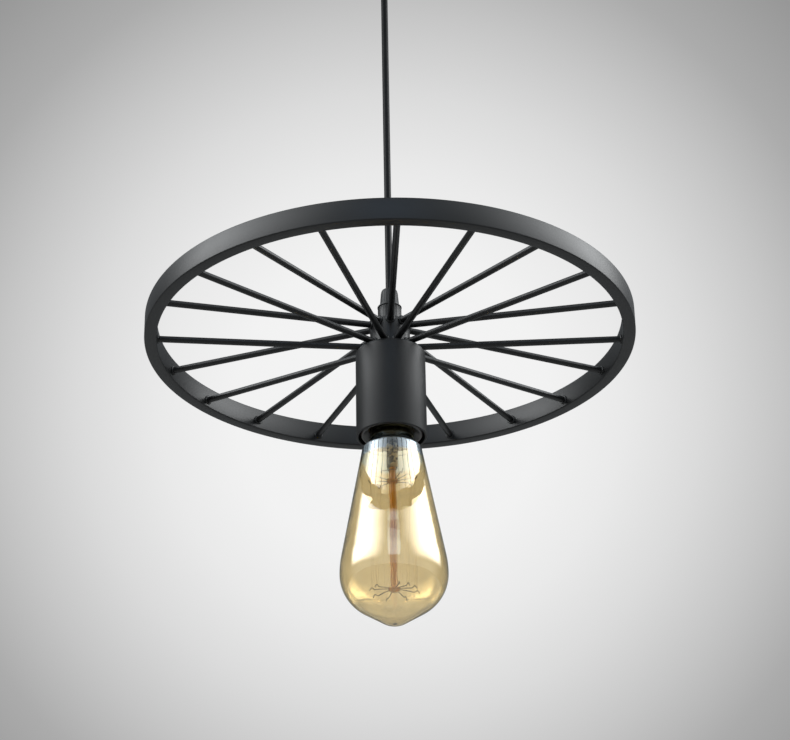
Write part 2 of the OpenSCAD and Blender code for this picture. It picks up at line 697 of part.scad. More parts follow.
// Half outline of the glass from neck to tip, at a depth under its outer face
function glass_outline(inset) =
    let (upper_c = [belly_r - upper_belly_r, z_belly],
         lower_c = [belly_r - lower_belly_r, z_belly],
         // centre of the tip's curve, where the nose's straight line meets it
         nose_end = lower_c + lower_belly_r * [cos(nose_deg), -sin(nose_deg)],
         nose_run = (nose_end.x - tip_r * cos(nose_deg)) / sin(nose_deg),
         tip_c = [0, nose_end.y - nose_run * cos(nose_deg) + tip_r * sin(nose_deg)],
         // centre of the shoulder's curve, on a line inside the flare
         flare_end = upper_c + (upper_belly_r - shoulder_r) * [cos(flare_deg), sin(flare_deg)],
         shoulder_z = z_cap_rim - 2.6 - shoulder_r,
         shoulder_c = [flare_end.x - (shoulder_z - flare_end.y) * tan(flare_deg), shoulder_z])
    concat([[neck_r - inset, z_neck_top], [neck_r - inset, z_cap_rim - 0.5]],
           arc(shoulder_c, shoulder_r - inset, 65, flare_deg, 8),
           arc(upper_c, upper_belly_r - inset, flare_deg, 0, 5),
           arc(lower_c, lower_belly_r - inset, -nose_deg / 12, -nose_deg, 11),
           arc(tip_c, tip_r - inset, -nose_deg, -90, 6));

module bulb_glass() color(amber)
    rotate_extrude(angle = 360, $fn = 128) polygon(concat(
        glass_outline(0), [for (i = [len(glass_outline(0)) - 1:-1:0]) glass_outline(glass_t)[i]]));

// The stem flares out to the neck at its top and is pinched flat round the leads
module glass_stem() color([0.9, 0.9, 0.88, 0.5])
    difference() {
        union() {
            rotate_extrude(angle = 360) polygon(concat(
                [[0, z_neck_top - 1], [neck_r - glass_t - slip_gap, z_neck_top]],
                [[neck_r - glass_t - slip_gap, z_neck_top - 1.4]],
                arc([neck_r - 1.5, z_neck_top - 9.5], neck_r - 1.5 - press_w * 0.45, 110, 180),
                [[0, z_neck_top - 9.5]]));
            translate([0, 0, z_press]) rotate(press_deg) linear_extrude(z_neck_top - 9 - z_press) {
                square([press_w - press_t, press_t], center = true);
                for (x = [-1, 1]) translate([x * (press_w - press_t) / 2, 0])
                    circle(d = press_t, $fn = 32);
            }
        }
        for (side = [0, 1]) translate(around(press_lead_r, press_deg + 180 * side, z_press - eps))
            cylinder(h = z_neck_top - z_press + 1, r = hook_wire_r + seat_gap, $fn = 16);
    }

module stem_rod() color([0.72, 0.42, 0.16, 0.8]) {
    foot = z_lower_button - button_h / 2;
    bush(foot, z_press - seat_gap - foot, rod_d / 2);
    for (z = [z_upper_button, z_lower_button]) bush(z - button_h / 2, button_h, button_d / 2);
}

// A hook runs out from its button, dips, and has a crook that holds a loop of filament;
// up is 1 for a lower hook, whose crook opens downwards, and -1 for an upper one
function hook(deg, z, up) = [
    around(button_d / 2 + seat_gap, deg, z), around(hook_reach - 3.6, deg, z - up * 1.0),
    around(hook_reach - 1.6, deg, z - up * 1.3), around(hook_reach, deg, z - up * 0.2),
    around(hook_reach + 0.35, deg, z - up * 0.35), around(hook_reach + 1.4, deg, z - up * 2.2)];

module hooks(directions, z, up)
    color("#6d5b3a") for (deg = directions) tube(hook(deg, z, up), hook_wire_r, 6);

module upper_hooks() hooks(upper_hook_deg, z_upper_button, -1);
module lower_hooks() hooks(lower_hook_deg, z_lower_button, 1);

// Leads come down through the press and bend out to the two ends of the filament
function lead(side) =
    let (deg = lead_ends_deg[side], in_press = press_deg + 180 * side)
    [around(press_lead_r, in_press, z_neck_top), around(press_lead_r, in_press, z_press),
     around(press_lead_r, in_press, z_press - 1.2),
     around(hook_reach * 0.4, deg, z_press - 3.4),
     around(hook_reach * 0.8, deg, z_upper_button + 2.6),
     around(hook_reach, deg, z_upper_button + 1.2), around(hook_reach, deg, z_upper_button)];

module lead_wires() color("#8a6a3e")
    for (side = [0, 1]) tube(lead(side), hook_wire_r, 6);

// The three points of the filament's loop round a crook
function loop(deg, z, up) =
    let (out = around(hook_reach, deg, z), aside = loop_half * [-sin(deg), cos(deg), 0])
    [out - aside - [0, 0, up * 0.3], out - [0, 0, up * hang_gap], out + aside - [0, 0, up * 0.3]];

filament_path = concat(
    [around(hook_reach, lead_ends_deg[0], z_upper_button - 0.4)],
    [for (i = [0:hook_count - 1]) each concat(
        loop(lower_hook_deg[i], z_lower_button - 0.2, 1),
        i < hook_count - 1 ? loop(upper_hook_deg[i], z_upper_button + 0.2, -1) : [])],
    [around(hook_reach, lead_ends_deg[1], z_upper_button - 0.4)]);

module filament() color("#b07a3a") tube(filament_path, filament_d / 2, 6);

ceiling_bracket();
canopy();
canopy_screws();
terminal_block();
terminal_screws();
canopy_nipple();
canopy_locknut();
canopy_grip_body();
canopy_grip_nut();
canopy_grip_seal();
ceiling_flex_end();
ceiling_cores();
cord_bend();
cord();
hub_grip_body();
hub_grip_nut();
hub_grip_seal();
hub_nipple();
hub();
rim();
for (i = [0:tier_count - 1]) {
    spoke(0, spoke_deg(0, i));
    spoke(1, spoke_deg(1, i));
}
socket_cup();
cup_nut();
lampholder_cap();
lampholder_skirt();
contact_plate();
screw_shell();
centre_contact();
lamp_flex_end();
lamp_cores();
bulb_tip();
bulb_cap();
cap_insulator();
bulb_glass();
glass_stem();
stem_rod();
upper_hooks();
lower_hooks();
lead_wires();
filament();
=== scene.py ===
# %% [markdown]
# # A spoked wheel pendant lamp
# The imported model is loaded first. It is the frame: its pieces already stand at their real
# sizes and places, and every new piece is made to fit them.

# %% Load the frame
import math

import bmesh
import bpy
from mathutils import Matrix, Vector, noise


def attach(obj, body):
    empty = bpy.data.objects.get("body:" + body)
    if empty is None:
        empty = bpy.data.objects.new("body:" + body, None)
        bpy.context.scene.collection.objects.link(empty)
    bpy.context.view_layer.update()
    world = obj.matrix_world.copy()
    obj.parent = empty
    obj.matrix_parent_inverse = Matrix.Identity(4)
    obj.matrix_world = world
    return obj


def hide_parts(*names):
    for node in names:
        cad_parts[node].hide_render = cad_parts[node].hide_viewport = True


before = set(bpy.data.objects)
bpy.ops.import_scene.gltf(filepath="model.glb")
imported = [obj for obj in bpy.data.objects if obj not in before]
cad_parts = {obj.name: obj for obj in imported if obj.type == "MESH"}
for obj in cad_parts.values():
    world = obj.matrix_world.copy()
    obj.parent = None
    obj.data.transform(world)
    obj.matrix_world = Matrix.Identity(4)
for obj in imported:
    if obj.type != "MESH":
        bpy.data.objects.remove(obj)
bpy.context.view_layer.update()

MM = 0.001
print("pieces in the frame:", len(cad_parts))

# %% [markdown]
# ## The camera
# The wheel is seen from in front and below, so the camera stands low and looks up, a little
# from the left. Its place and lens were fitted to the four edges of the rim and to the lamp's
# upright axis. A long lens keeps the near and the far side of the rim almost the same size.

# %% Camera
FRAME_WIDTH, FRAME_HEIGHT = 790, 740            # pixels
FOCAL_PIXELS = 2210.5
SENSOR_WIDTH = 36                               # millimetres
NEAR_CLIP, FAR_CLIP = 0.01, 60                  # metres
camera_place = Vector((-0.0439, -1.1961, -0.9639))
pitch, yaw, roll = math.radians(27.286), math.radians(2.23), math.radians(-1.04)

look = Vector((math.sin(yaw) * math.cos(pitch), math.cos(yaw) * math.cos(pitch), math.sin(pitch)))
bpy.ops.object.select_all(action="DESELECT")
bpy.ops.object.camera_add(location=camera_place)
camera = bpy.context.object
camera.name = "camera"
camera.rotation_mode = "QUATERNION"
camera.rotation_quaternion = (look.to_track_quat("-Z", "Y").to_matrix()
                              @ Matrix.Rotation(roll, 3, "Z")).to_quaternion()
camera.data.sensor_width = SENSOR_WIDTH
camera.data.lens = FOCAL_PIXELS * SENSOR_WIDTH / FRAME_WIDTH
camera.data.clip_start, camera.data.clip_end = NEAR_CLIP, FAR_CLIP
bpy.context.scene.camera = camera
print("lens, mm:", round(camera.data.lens, 2))

# %% [markdown]
# ## The flex
# The lamp's weight holds the flex straight, so its line is a plain run of points from inside
# the lower grip up to the place where it bends under the ceiling grip. A curve with a round
# bevel suits it, because a curve's own line is the flex's real length.

# %% Flex
FLEX_DIAMETER = 4.4 * MM
# In millimetres, from inside the lower grip up to the bend
flex_heights = [-300, -285, -270, -255, -240, -225, -210, -190, -175, -160, -140, -125,
                -110, -90, -75, -60, -50]
flex_line = [Vector((0, 0, z * MM)) for z in flex_heights]

line = bpy.data.curves.new("flex", "CURVE")
line.dimensions = "3D"
run = line.splines.new("POLY")
run.points.add(len(flex_line) - 1)
for point, place in zip(run.points, flex_line):
    point.co = (*place, 1)
line.bevel_depth = FLEX_DIAMETER / 2
line.bevel_resolution = 5
line.use_fill_caps = True
run.use_smooth = True
flex = bpy.data.objects.new("flex", line)
bpy.context.scene.collection.objects.link(flex)

# %% [markdown]
# ## Shader maths as plain sums
# A finish is a small network of nodes. Wrapping a socket in a class that knows + - * / lets
# the maths of a finish be written as an ordinary expression.

# %% Socket wrapper
class Level:
    """A number that changes over a surface: one output socket of a node."""

    def __init__(self, tree, socket):
        self.tree, self.socket = tree, socket

    def maths(self, operation, first, second):
        return add_node(self.tree, "ShaderNodeMath", {"operation": operation},
                        {0: first, 1: second})

    def __add__(self, other):
        return self.maths("ADD", self, other)

    def __radd__(self, other):
        return self.maths("ADD", other, self)

    def __rsub__(self, other):
        return self.maths("SUBTRACT", other, self)

    def __mul__(self, other):
        return self.maths("MULTIPLY", self, other)

    def __rmul__(self, other):
        return self.maths("MULTIPLY", other, self)

    def __truediv__(self, other):
        return self.maths("DIVIDE", self, other)


def add_node(tree, kind, settings=None, sockets=None, output=0):
    """Adds a node, sets it up, joins its inputs and returns one of its outputs."""
    made = tree.nodes.new(kind)
    for name, value in (settings or {}).items():
        if name == "stops":
            ramp = made.color_ramp.elements
            while len(ramp) < len(value):
                ramp.new(1.0)
            for stop, (place, colour) in zip(ramp, value):
                stop.position, stop.color = place, colour
        else:
            setattr(made, name, value)
    for name, value in (sockets or {}).items():
        if isinstance(value, Level):
            tree.links.new(value.socket, made.inputs[name])
        else:
            made.inputs[name].default_value = value
    return Level(tree, made.outputs[output])


print("shader helpers are ready")

# %% [markdown]
# Every finish starts from the same principled shader. Numbers that are the same all over a
# surface are set on the shader itself. Only what changes over the surface is linked.

# %% Finish maker
class Finish:
    """A material with one principled shader, and short ways to patterns on it."""

    def __init__(self, name, colour, roughness, **constants):
        self.material = bpy.data.materials.new(name)
        self.material.use_nodes = True
        self.tree = self.material.node_tree
        self.shader = self.tree.nodes["Principled BSDF"]
        self.set("Base Color", (*colour, 1))
        self.set("Roughness", roughness)
        for socket, value in constants.items():
            self.set(socket.replace("_", " "), value)
        self.material.diffuse_color = (*colour, 1)
        self.place = add_node(self.tree, "ShaderNodeTexCoord", output="Object")

    def set(self, socket, value):
        if isinstance(value, Level):
            self.tree.links.new(value.socket, self.shader.inputs[socket])
        else:
            self.shader.inputs[socket].default_value = value

    def speckle(self, size, detail=3.0, stretch=(1, 1, 1)):
        """Soft noise from 0 to 1 whose grains are about that many metres across."""
        mapped = add_node(self.tree, "ShaderNodeMapping", None,
                          {"Vector": self.place, "Scale": stretch})
        return add_node(self.tree, "ShaderNodeTexNoise", None,
                        {"Vector": mapped, "Scale": 1 / size, "Detail": detail})

    def between(self, factor, first, second):
        """A colour that goes from the first to the second as the factor rises. Soft noise
        seldom leaves 0.3 to 0.7, so the whole change happens inside that range."""
        return add_node(self.tree, "ShaderNodeValToRGB",
                        {"stops": [(0.3, (*first, 1)), (0.7, (*second, 1))]}, {"Fac": factor})

    def coloured(self, factor, first, second):
        """Gives the surface the colours between the first and the second."""
        self.set("Base Color", self.between(factor, first, second))

    def relief(self, height, depth):
        """Small bumps that are that many metres deep."""
        self.set("Normal", add_node(self.tree, "ShaderNodeBump", None,
                                    {"Height": height, "Distance": depth, "Strength": 1.0}))


print("finish maker is ready")

# %% [markdown]
# ## The black finishes
# The wheel, the hub and both cups are powder coated. Baked powder is never quite flat: it has
# a fine pebbled skin that spreads a highlight, and its gloss drifts a little from place to
# place. The cup is a little duller than the wheel.

# %% Powder coat
def powder_coat(name, roughness):
    """Black powder, pebbled, with a gloss that drifts from place to place."""
    made = Finish(name, (0.006, 0.006, 0.007), roughness, Specular_IOR_Level=0.31)
    pebbles = made.speckle(0.7 * MM, 2.0)
    drift = made.speckle(22 * MM, 2.0)
    made.coloured(drift, (0.0026, 0.0027, 0.0028), (0.0038, 0.0039, 0.0040))
    made.set("Roughness", roughness - 0.06 + 0.06 * pebbles + 0.06 * drift)
    made.relief(pebbles, 0.03 * MM)
    return made


powder = powder_coat("satin_black_powder", 0.40)
cup_powder = powder_coat("cup_black_powder", 0.48)
print("made", powder.material.name, cup_powder.material.name)

# %% [markdown]
# The grips are moulded and have a fine, even grain. The flex is smooth soft plastic: the waves
# on it are long and faint, so their pattern is stretched along its length. The seals are rubber.

# %% Moulded grip plastic, flex and rubber
moulded = Finish("black_moulding", (0.006, 0.006, 0.006), 0.4, Specular_IOR_Level=0.25)
grain = moulded.speckle(0.25 * MM, 2.0)
moulded.coloured(moulded.speckle(6 * MM), (0.005, 0.005, 0.005), (0.008, 0.008, 0.008))
moulded.set("Roughness", 0.36 + 0.1 * grain)
moulded.relief(grain, 0.01 * MM)

sheath = Finish("black_flex", (0.006, 0.006, 0.006), 0.3, Specular_IOR_Level=0.08)
waves = sheath.speckle(3 * MM, 2.0, (1, 1, 0.12))
sheath.coloured(waves, (0.004, 0.004, 0.004), (0.008, 0.008, 0.008))
sheath.set("Roughness", 0.24 + 0.12 * waves)
sheath.relief(waves, 0.03 * MM)

rubber = Finish("nitrile_rubber", (0.04, 0.04, 0.04), 0.8)
crumbs = rubber.speckle(0.4 * MM)
rubber.coloured(crumbs, (0.03, 0.03, 0.03), (0.055, 0.055, 0.055))
rubber.relief(crumbs, 0.02 * MM)
print("made", moulded.material.name, sheath.material.name, rubber.material.name)

# %% [markdown]
# ## The metals
# Zinc plate has a soft crystalline mottle. The bulb's cap is aged olive brass, painted far darker
# as painted shade, so that it hardly shows inside the cup's mouth. Solder sets dull and frosty.

# %% Zinc, brass and solder
zinc = Finish("zinc_plate", (0.60, 0.61, 0.63), 0.34, Metallic=1.0)
mottle = zinc.speckle(2.5 * MM, 5.0)
zinc.coloured(mottle, (0.52, 0.53, 0.55), (0.68, 0.69, 0.70))
zinc.set("Roughness", 0.24 + 0.22 * mottle)
zinc.relief(zinc.speckle(0.3 * MM, 2.0), 0.006 * MM)

brass = Finish("aged_brass", (0.25, 0.19, 0.09), 0.3, Metallic=1.0)
tarnish = brass.speckle(5 * MM, 5.0)
brass.coloured(tarnish, (0.15, 0.11, 0.05), (0.34, 0.26, 0.12))
brass.set("Roughness", 0.2 + 0.26 * tarnish)
brass.relief(brass.speckle(0.5 * MM, 2.0, (1, 1, 0.2)), 0.006 * MM)

# Painted shade: the cap's colours are aged brass made far darker, for the shade inside the cup's
# mouth
brass_with_painted_shade = Finish("aged_brass_painted_shade", (0.06, 0.055, 0.03), 0.35, Metallic=1.0)
bloom = brass_with_painted_shade.speckle(4 * MM, 5.0)
brass_with_painted_shade.coloured(bloom, (0.035, 0.032, 0.018), (0.10, 0.09, 0.045))
brass_with_painted_shade.set("Roughness", 0.24 + 0.26 * bloom)
brass_with_painted_shade.relief(brass_with_painted_shade.speckle(0.5 * MM, 2.0, (1, 1, 0.2)), 0.006 * MM)

solder = Finish("dull_solder", (0.55, 0.55, 0.56), 0.42, Metallic=1.0)
frost = solder.speckle(0.8 * MM, 4.0)
solder.set("Roughness", 0.32 + 0.3 * frost)
solder.relief(frost, 0.05 * MM)
print("made", [metal.material.name for metal in (zinc, brass, brass_with_painted_shade, solder)])

# %% [markdown]
# ## The plain mouldings
# Phenolic, ceramic, core insulation and black glass differ only in their colour, their gloss
# and the size of their grain, so one function makes them all.

# %% Phenolic, ceramic, block, insulation and black glass
def moulding(name, dark, pale, roughness, grain_size, depth):
    """A plain moulding with a faint mottle and a fine grain."""
    made = Finish(name, pale, roughness)
    mottled = made.speckle(grain_size * 8)
    made.coloured(mottled, dark, pale)
    made.set("Roughness", roughness - 0.05 + 0.1 * mottled)
    made.relief(made.speckle(grain_size, 2.0), depth)
    return made


phenolic = moulding("phenolic", (0.020, 0.016, 0.014), (0.034, 0.028, 0.024),
                    0.32, 0.5 * MM, 0.01 * MM)
ceramic = moulding("ceramic", (0.66, 0.63, 0.56), (0.80, 0.78, 0.72),
                   0.6, 0.4 * MM, 0.03 * MM)
block = moulding("terminal_block", (0.74, 0.72, 0.66), (0.84, 0.82, 0.77),
                 0.5, 0.5 * MM, 0.01 * MM)
insulation = moulding("core_insulation", (0.16, 0.08, 0.03), (0.26, 0.13, 0.05),
                      0.35, 0.3 * MM, 0.005 * MM)
black_glass = moulding("black_glass", (0.012, 0.010, 0.008), (0.022, 0.019, 0.015),
                       0.12, 0.8 * MM, 0.01 * MM)
print("made five mouldings")

# %% [markdown]
# ## The glass
# The bulb is clear blown glass whose outside has a thin amber lustre, a metal film a few
# atoms thick. The film tints what is seen through the bulb and mirrors the lights, so its
# shader is glass with a small metallic share under a clear coat. Towards the outline, where the
# glass is seen slantwise, a facing weight makes the tint paler and thins the coat: a full coat
# would draw a grey line round the bulb. The film ends a little way below the cap, and the neck
# above it is painted faintly blue, a painted reflection of the cool light overhead. Blown glass
# is uneven, so its reflections are wavy.

# %% Amber lustre and the bare glass inside it
PAINTED_NECK_LOW, NECK_START = -408.5 * MM, -405.5 * MM
FACTOR, FIRST_COLOUR, SECOND_COLOUR, MIXED_COLOUR = 0, 6, 7, 2    # sockets of a colour mix
amber = Finish("amber_lustre", (0.84, 0.64, 0.30), 0.0, Transmission_Weight=1.0, IOR=1.5,
               Metallic=0.14, Specular_Tint=(1.0, 0.97, 0.92, 1.0), Coat_Weight=1.0,
               Coat_IOR=1.8, Coat_Roughness=0.015)
streaks = amber.speckle(24 * MM, 2.0)
face_on = amber.between(streaks, (0.81, 0.61, 0.28), (0.88, 0.68, 0.34))
slanting = add_node(amber.tree, "ShaderNodeLayerWeight", None, {"Blend": 0.5}, output="Facing")
tinted = add_node(amber.tree, "ShaderNodeMix", {"data_type": "RGBA"},
                  {FACTOR: slanting * slanting, FIRST_COLOUR: face_on,
                   SECOND_COLOUR: (0.90, 0.76, 0.36, 1)}, output=MIXED_COLOUR)

# Painted reflection: above this height the tint turns faintly blue, standing in for the cool light
# the neck mirrors
height = add_node(amber.tree, "ShaderNodeSeparateXYZ", None, {"Vector": amber.place}, output="Z")
painted_neck_reflection = add_node(amber.tree, "ShaderNodeMapRange", {"interpolation_type": "SMOOTHSTEP"},
                    {"Value": height, "From Min": PAINTED_NECK_LOW, "From Max": NECK_START})
amber.set("Base Color", add_node(
    amber.tree, "ShaderNodeMix", {"data_type": "RGBA"},
    {FACTOR: painted_neck_reflection, FIRST_COLOUR: tinted, SECOND_COLOUR: (0.66, 0.80, 0.90, 1)},
    output=MIXED_COLOUR))
amber.set("Coat Weight", 1.0 - slanting)
amber.relief(amber.speckle(14 * MM, 1.0), 0.35 * MM)

bare_glass = Finish("bare_glass", (0.98, 0.98, 0.96), 0.0, Transmission_Weight=1.0, IOR=1.5)
cords = bare_glass.speckle(20 * MM, 1.0)
bare_glass.coloured(cords, (0.97, 0.97, 0.95), (0.99, 0.99, 0.98))
bare_glass.relief(cords, 0.1 * MM)
print("made", amber.material.name, bare_glass.material.name)

# %% [markdown]
# The glass inside the bulb was worked in a flame. The stem's tube stays clear, its pinched end
# turns smoky and rough, and the rod is drawn from amber glass, so its lines run lengthwise.

# %% Stem, press and rod
stem_glass = Finish("clear_stem", (0.93, 0.92, 0.88), 0.03, Transmission_Weight=1.0, IOR=1.5)
seeds = stem_glass.speckle(2 * MM)
stem_glass.coloured(seeds, (0.80, 0.74, 0.60), (0.95, 0.93, 0.88))
stem_glass.relief(seeds, 0.15 * MM)

# The smoke has clear edges, so its noise is squeezed into a narrow range
press_glass = Finish("smoky_press", (0.50, 0.38, 0.18), 0.25, Transmission_Weight=0.3, IOR=1.5)
smoke = add_node(press_glass.tree, "ShaderNodeMapRange", {"interpolation_type": "SMOOTHSTEP"},
                 {"Value": press_glass.speckle(5 * MM, 2.0), "From Min": 0.42, "From Max": 0.56})
press_glass.coloured(smoke, (0.012, 0.008, 0.004), (0.80, 0.62, 0.34))
press_glass.relief(smoke, 0.3 * MM)

rod_glass = Finish("amber_rod", (0.90, 0.42, 0.05), 0.1, Transmission_Weight=0.6, IOR=1.5)
draw_lines = rod_glass.speckle(2 * MM, 2.0, (1, 1, 0.1))
rod_glass.coloured(draw_lines, (0.80, 0.32, 0.02), (0.97, 0.56, 0.08))
rod_glass.relief(draw_lines, 0.03 * MM)
print("made", stem_glass.material.name, press_glass.material.name, rod_glass.material.name)

# %% [markdown]
# The hooks and leads are iron wire with a brown scale. The filament is bare and paler.

# %% Wires
def wire_finish(name, dark, bright, roughness):
    """Oxidised wire, mottled along its length."""
    made = Finish(name, bright, roughness, Metallic=0.8)
    oxide = made.speckle(1.5 * MM, 4.0)
    made.coloured(oxide, dark, bright)
    made.set("Roughness", roughness - 0.1 + 0.2 * oxide)
    return made


hook_wire = wire_finish("oxidised_hooks", (0.018, 0.011, 0.005), (0.06, 0.038, 0.018), 0.5)
filament_wire = wire_finish("carbon_filament", (0.50, 0.38, 0.22), (0.76, 0.62, 0.42), 0.5)
print("made", hook_wire.material.name, filament_wire.material.name)

# %% [markdown]
# ## Ways of shaping
# Most of this lamp is round about one axis, as it would be on a lathe. A half outline is drawn
# corner by corner with extrude and then spun about the axis. Repeats are shaped once and copied.

# %% Turning, bevelling and placing
SAME_POINT, SEAM, WIRE_SEAM = 1e-7, 2e-6, 1e-6      # metres: closer points than this are merged


def deselect():
    """Leaves edit mode and lets go of everything."""
    if bpy.context.object and bpy.context.object.mode != "OBJECT":
        bpy.ops.object.mode_set(mode="OBJECT")
    bpy.ops.object.select_all(action="DESELECT")


def pick(piece):
    """Makes a piece the only one that is selected."""
    deselect()
    piece.select_set(True)
    bpy.context.view_layer.objects.active = piece


def turned(name, outline, steps=96, closed=True):
    """Spins a half outline, given as (radius, height) in millimetres, about the lamp's axis."""
    deselect()
    bpy.ops.mesh.primitive_plane_add(size=0.01)
    piece = bpy.context.object
    piece.name = piece.data.name = name
    bpy.ops.object.mode_set(mode="EDIT")
    mesh = bmesh.from_edit_mesh(piece.data)
    mesh.verts.ensure_lookup_table()
    for vertex in mesh.verts:
        vertex.select = vertex.index > 0
    mesh.select_flush_mode()
    bpy.ops.mesh.delete(type="VERT")
    mesh = bmesh.from_edit_mesh(piece.data)
    mesh.verts.ensure_lookup_table()
    start = Vector((outline[0][0] * MM, 0, outline[0][1] * MM))
    mesh.verts[0].co = start
    bpy.ops.mesh.select_all(action="SELECT")
    here = start
    for radius, height in outline[1:]:
        there = Vector((radius * MM, 0, height * MM))
        bpy.ops.mesh.extrude_region_move(TRANSFORM_OT_translate={"value": there - here})
        here = there
    if closed:
        mesh = bmesh.from_edit_mesh(piece.data)
        for vertex in mesh.verts:
            vertex.select = min((vertex.co - start).length, (vertex.co - here).length) < SAME_POINT
        mesh.select_flush_mode()
        bpy.ops.mesh.edge_face_add()
    bpy.ops.mesh.select_all(action="SELECT")
    bpy.ops.mesh.spin(steps=steps, angle=2 * math.pi, center=(0, 0, 0), axis=(0, 0, 1))
    bpy.ops.mesh.select_all(action="SELECT")
    bpy.ops.mesh.remove_doubles(threshold=SEAM)
    bpy.ops.mesh.normals_make_consistent(inside=False)
    bpy.ops.object.mode_set(mode="OBJECT")
    return piece


def bevelled(piece, width, segments=3, angle=35):
    """Rounds the sharp edges of a piece by a width in millimetres."""
    pick(piece)
    rounding = piece.modifiers.new("edges", "BEVEL")
    rounding.width, rounding.segments = width * MM, segments
    rounding.limit_method, rounding.angle_limit = "ANGLE", math.radians(angle)
    bpy.ops.object.modifier_apply(modifier=rounding.name)
    return piece


def smoothed(piece, angle=35):
    """Shades gentle corners smooth and leaves sharp ones sharp."""
    pick(piece)
    bpy.ops.object.shade_smooth_by_angle(angle=math.radians(angle))
    return piece


def settled(piece, body, finish, slot, *nodes):
    """Gives a finished piece its finish, its body and the nodes that it stands for."""
    piece.data.materials.clear()
    piece.data.materials.append(finish.material)
    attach(piece, body)
    if nodes:
        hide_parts(*nodes)


def arc(centre, radius, start, end, steps):
    """Points of an arc from one angle to another, in millimetres and degrees."""
    return [(centre[0] + radius * math.cos(math.radians(start + (end - start) * i / steps)),
             centre[1] + radius * math.sin(math.radians(start + (end - start) * i / steps)))
            for i in range(steps + 1)]


def copied(piece, name, change):
    """A copy with a mesh of its own, changed by a matrix."""
    twin = piece.copy()
    twin.data = piece.data.copy()
    twin.name = twin.data.name = name
    bpy.context.scene.collection.objects.link(twin)
    twin.data.transform(change)
    if change.determinant() < 0:
        twin.data.flip_normals()
    return twin


# The flex was drawn before its finish and these helpers, so it is settled here
settled(flex, "pendant", sheath, "flex_black", "cord")
print("shaping helpers are ready")

# %% [markdown]
# ## The wheel
# The rim is one flat bar bent edgeways into a ring and welded shut. Spinning a rectangle gives
# the bar, and a narrow bevel gives the soft edges that powder leaves on it.

# %% Rim and hub
RIM_BOTTOM, RIM_HEIGHT, RIM_RADIUS, RIM_BAR = -330.0, 14.3, 150.0, 7.6
HUB_TOP, HUB_FOOT, HUB_RADIUS, NIPPLE_HOLE = -315.0, -334.6, 12.25, 5.1
rim_inner = RIM_RADIUS - RIM_BAR

rim = turned("wheel_rim", [(rim_inner, RIM_BOTTOM), (RIM_RADIUS, RIM_BOTTOM),
                           (RIM_RADIUS, RIM_BOTTOM + RIM_HEIGHT),
                           (rim_inner, RIM_BOTTOM + RIM_HEIGHT)], steps=288)
smoothed(bevelled(rim, 0.8, 4, 60))
settled(rim, "pendant", powder, "satin_black", "rim")

hub = turned("wheel_hub", [(NIPPLE_HOLE, HUB_FOOT), (HUB_RADIUS, HUB_FOOT),
                           (HUB_RADIUS, HUB_TOP), (NIPPLE_HOLE, HUB_TOP)], steps=96)
smoothed(bevelled(hub, 0.5, 3, 60))
settled(hub, "pendant", powder, "satin_black", "hub")
print("rim and hub:", len(rim.data.polygons), len(hub.data.polygons), "faces")

# %% [markdown]
# Each spoke is a round rod with a lumpy ring of weld at both ends. The rod is a cylinder and a
# ring of weld is a squashed torus, roughened with noise. One spoke is made for each tier. Each
# copy is turned about its own length first, so that no two welds show the same side.

# %% Spokes
SPOKE_RADIUS, SUNK, SPOKES_IN_TIER = 2.0, 0.4, 10
# The middle of a ring of weld stands WELD_OFF away from the rod, and as far from its end
WELD_OFF, WELD_RADIUS, WELD_LUMP, LUMP_SIZE = 0.15, 0.8, 0.28, 1.3
OWN_TURN = 137.5                      # degrees from one copy of a spoke to the next
# The first spoke's direction in degrees, and the height of its axis at the hub and at the rim
TIERS = {"upper": (198.0, -317.2, -324.1), "lower": (216.0, -330.9, -325.1)}


def weld(height, seed):
    """A ring of weld round the spoke."""
    deselect()
    bpy.ops.mesh.primitive_torus_add(major_radius=(SPOKE_RADIUS + WELD_OFF) * MM,
                                     minor_radius=WELD_RADIUS * MM,
                                     major_segments=36, minor_segments=12,
                                     location=(0, 0, height * MM))
    ring = bpy.context.object
    bpy.ops.object.transform_apply(location=True, rotation=True, scale=True)
    for vertex in ring.data.vertices:
        lump = noise.noise(Vector(vertex.co) / (LUMP_SIZE * MM) + Vector((seed, 0, 0)))
        outward = Vector((vertex.co.x, vertex.co.y, 0)).normalized()
        vertex.co += outward * lump * WELD_LUMP * MM
    return ring


def spoke_blank(name, length):
    """A rod that stands on the origin, with weld at its foot and its head."""
    deselect()
    bpy.ops.mesh.primitive_cylinder_add(vertices=32, radius=SPOKE_RADIUS * MM,
                                        depth=(length + 2 * SUNK) * MM,
                                        location=(0, 0, length / 2 * MM))
    rod = bpy.context.object
    bpy.ops.object.transform_apply(location=True, rotation=True, scale=True)
    rings = [weld(WELD_OFF, 3.0), weld(length - WELD_OFF, 9.0)]
    deselect()
    for part in [*rings, rod]:
        part.select_set(True)
    bpy.context.view_layer.objects.active = rod
    bpy.ops.object.join()
    rod.name = rod.data.name = name
    return smoothed(rod, 50)


for tier, (first_deg, hub_z, rim_z) in TIERS.items():
    reach, drop = rim_inner - HUB_RADIUS, rim_z - hub_z
    blank = spoke_blank(tier + "_blank", math.hypot(reach, drop))
    tilt = Matrix.Rotation(math.pi / 2 - math.atan2(drop, reach), 4, "Y")
    foot = Matrix.Translation((HUB_RADIUS * MM, 0, hub_z * MM))
    for i in range(SPOKES_IN_TIER):
        turn = Matrix.Rotation(math.radians(first_deg + 360 / SPOKES_IN_TIER * i), 4, "Z")
        own = Matrix.Rotation(math.radians(OWN_TURN * i), 4, "Z")
        spoke = copied(blank, f"{tier}_spoke_{i + 1:02d}_rod", turn @ foot @ tilt @ own)
        settled(spoke, "pendant", powder, "satin_black", f"{tier}_spoke_{i + 1:02d}")
    bpy.data.objects.remove(blank)

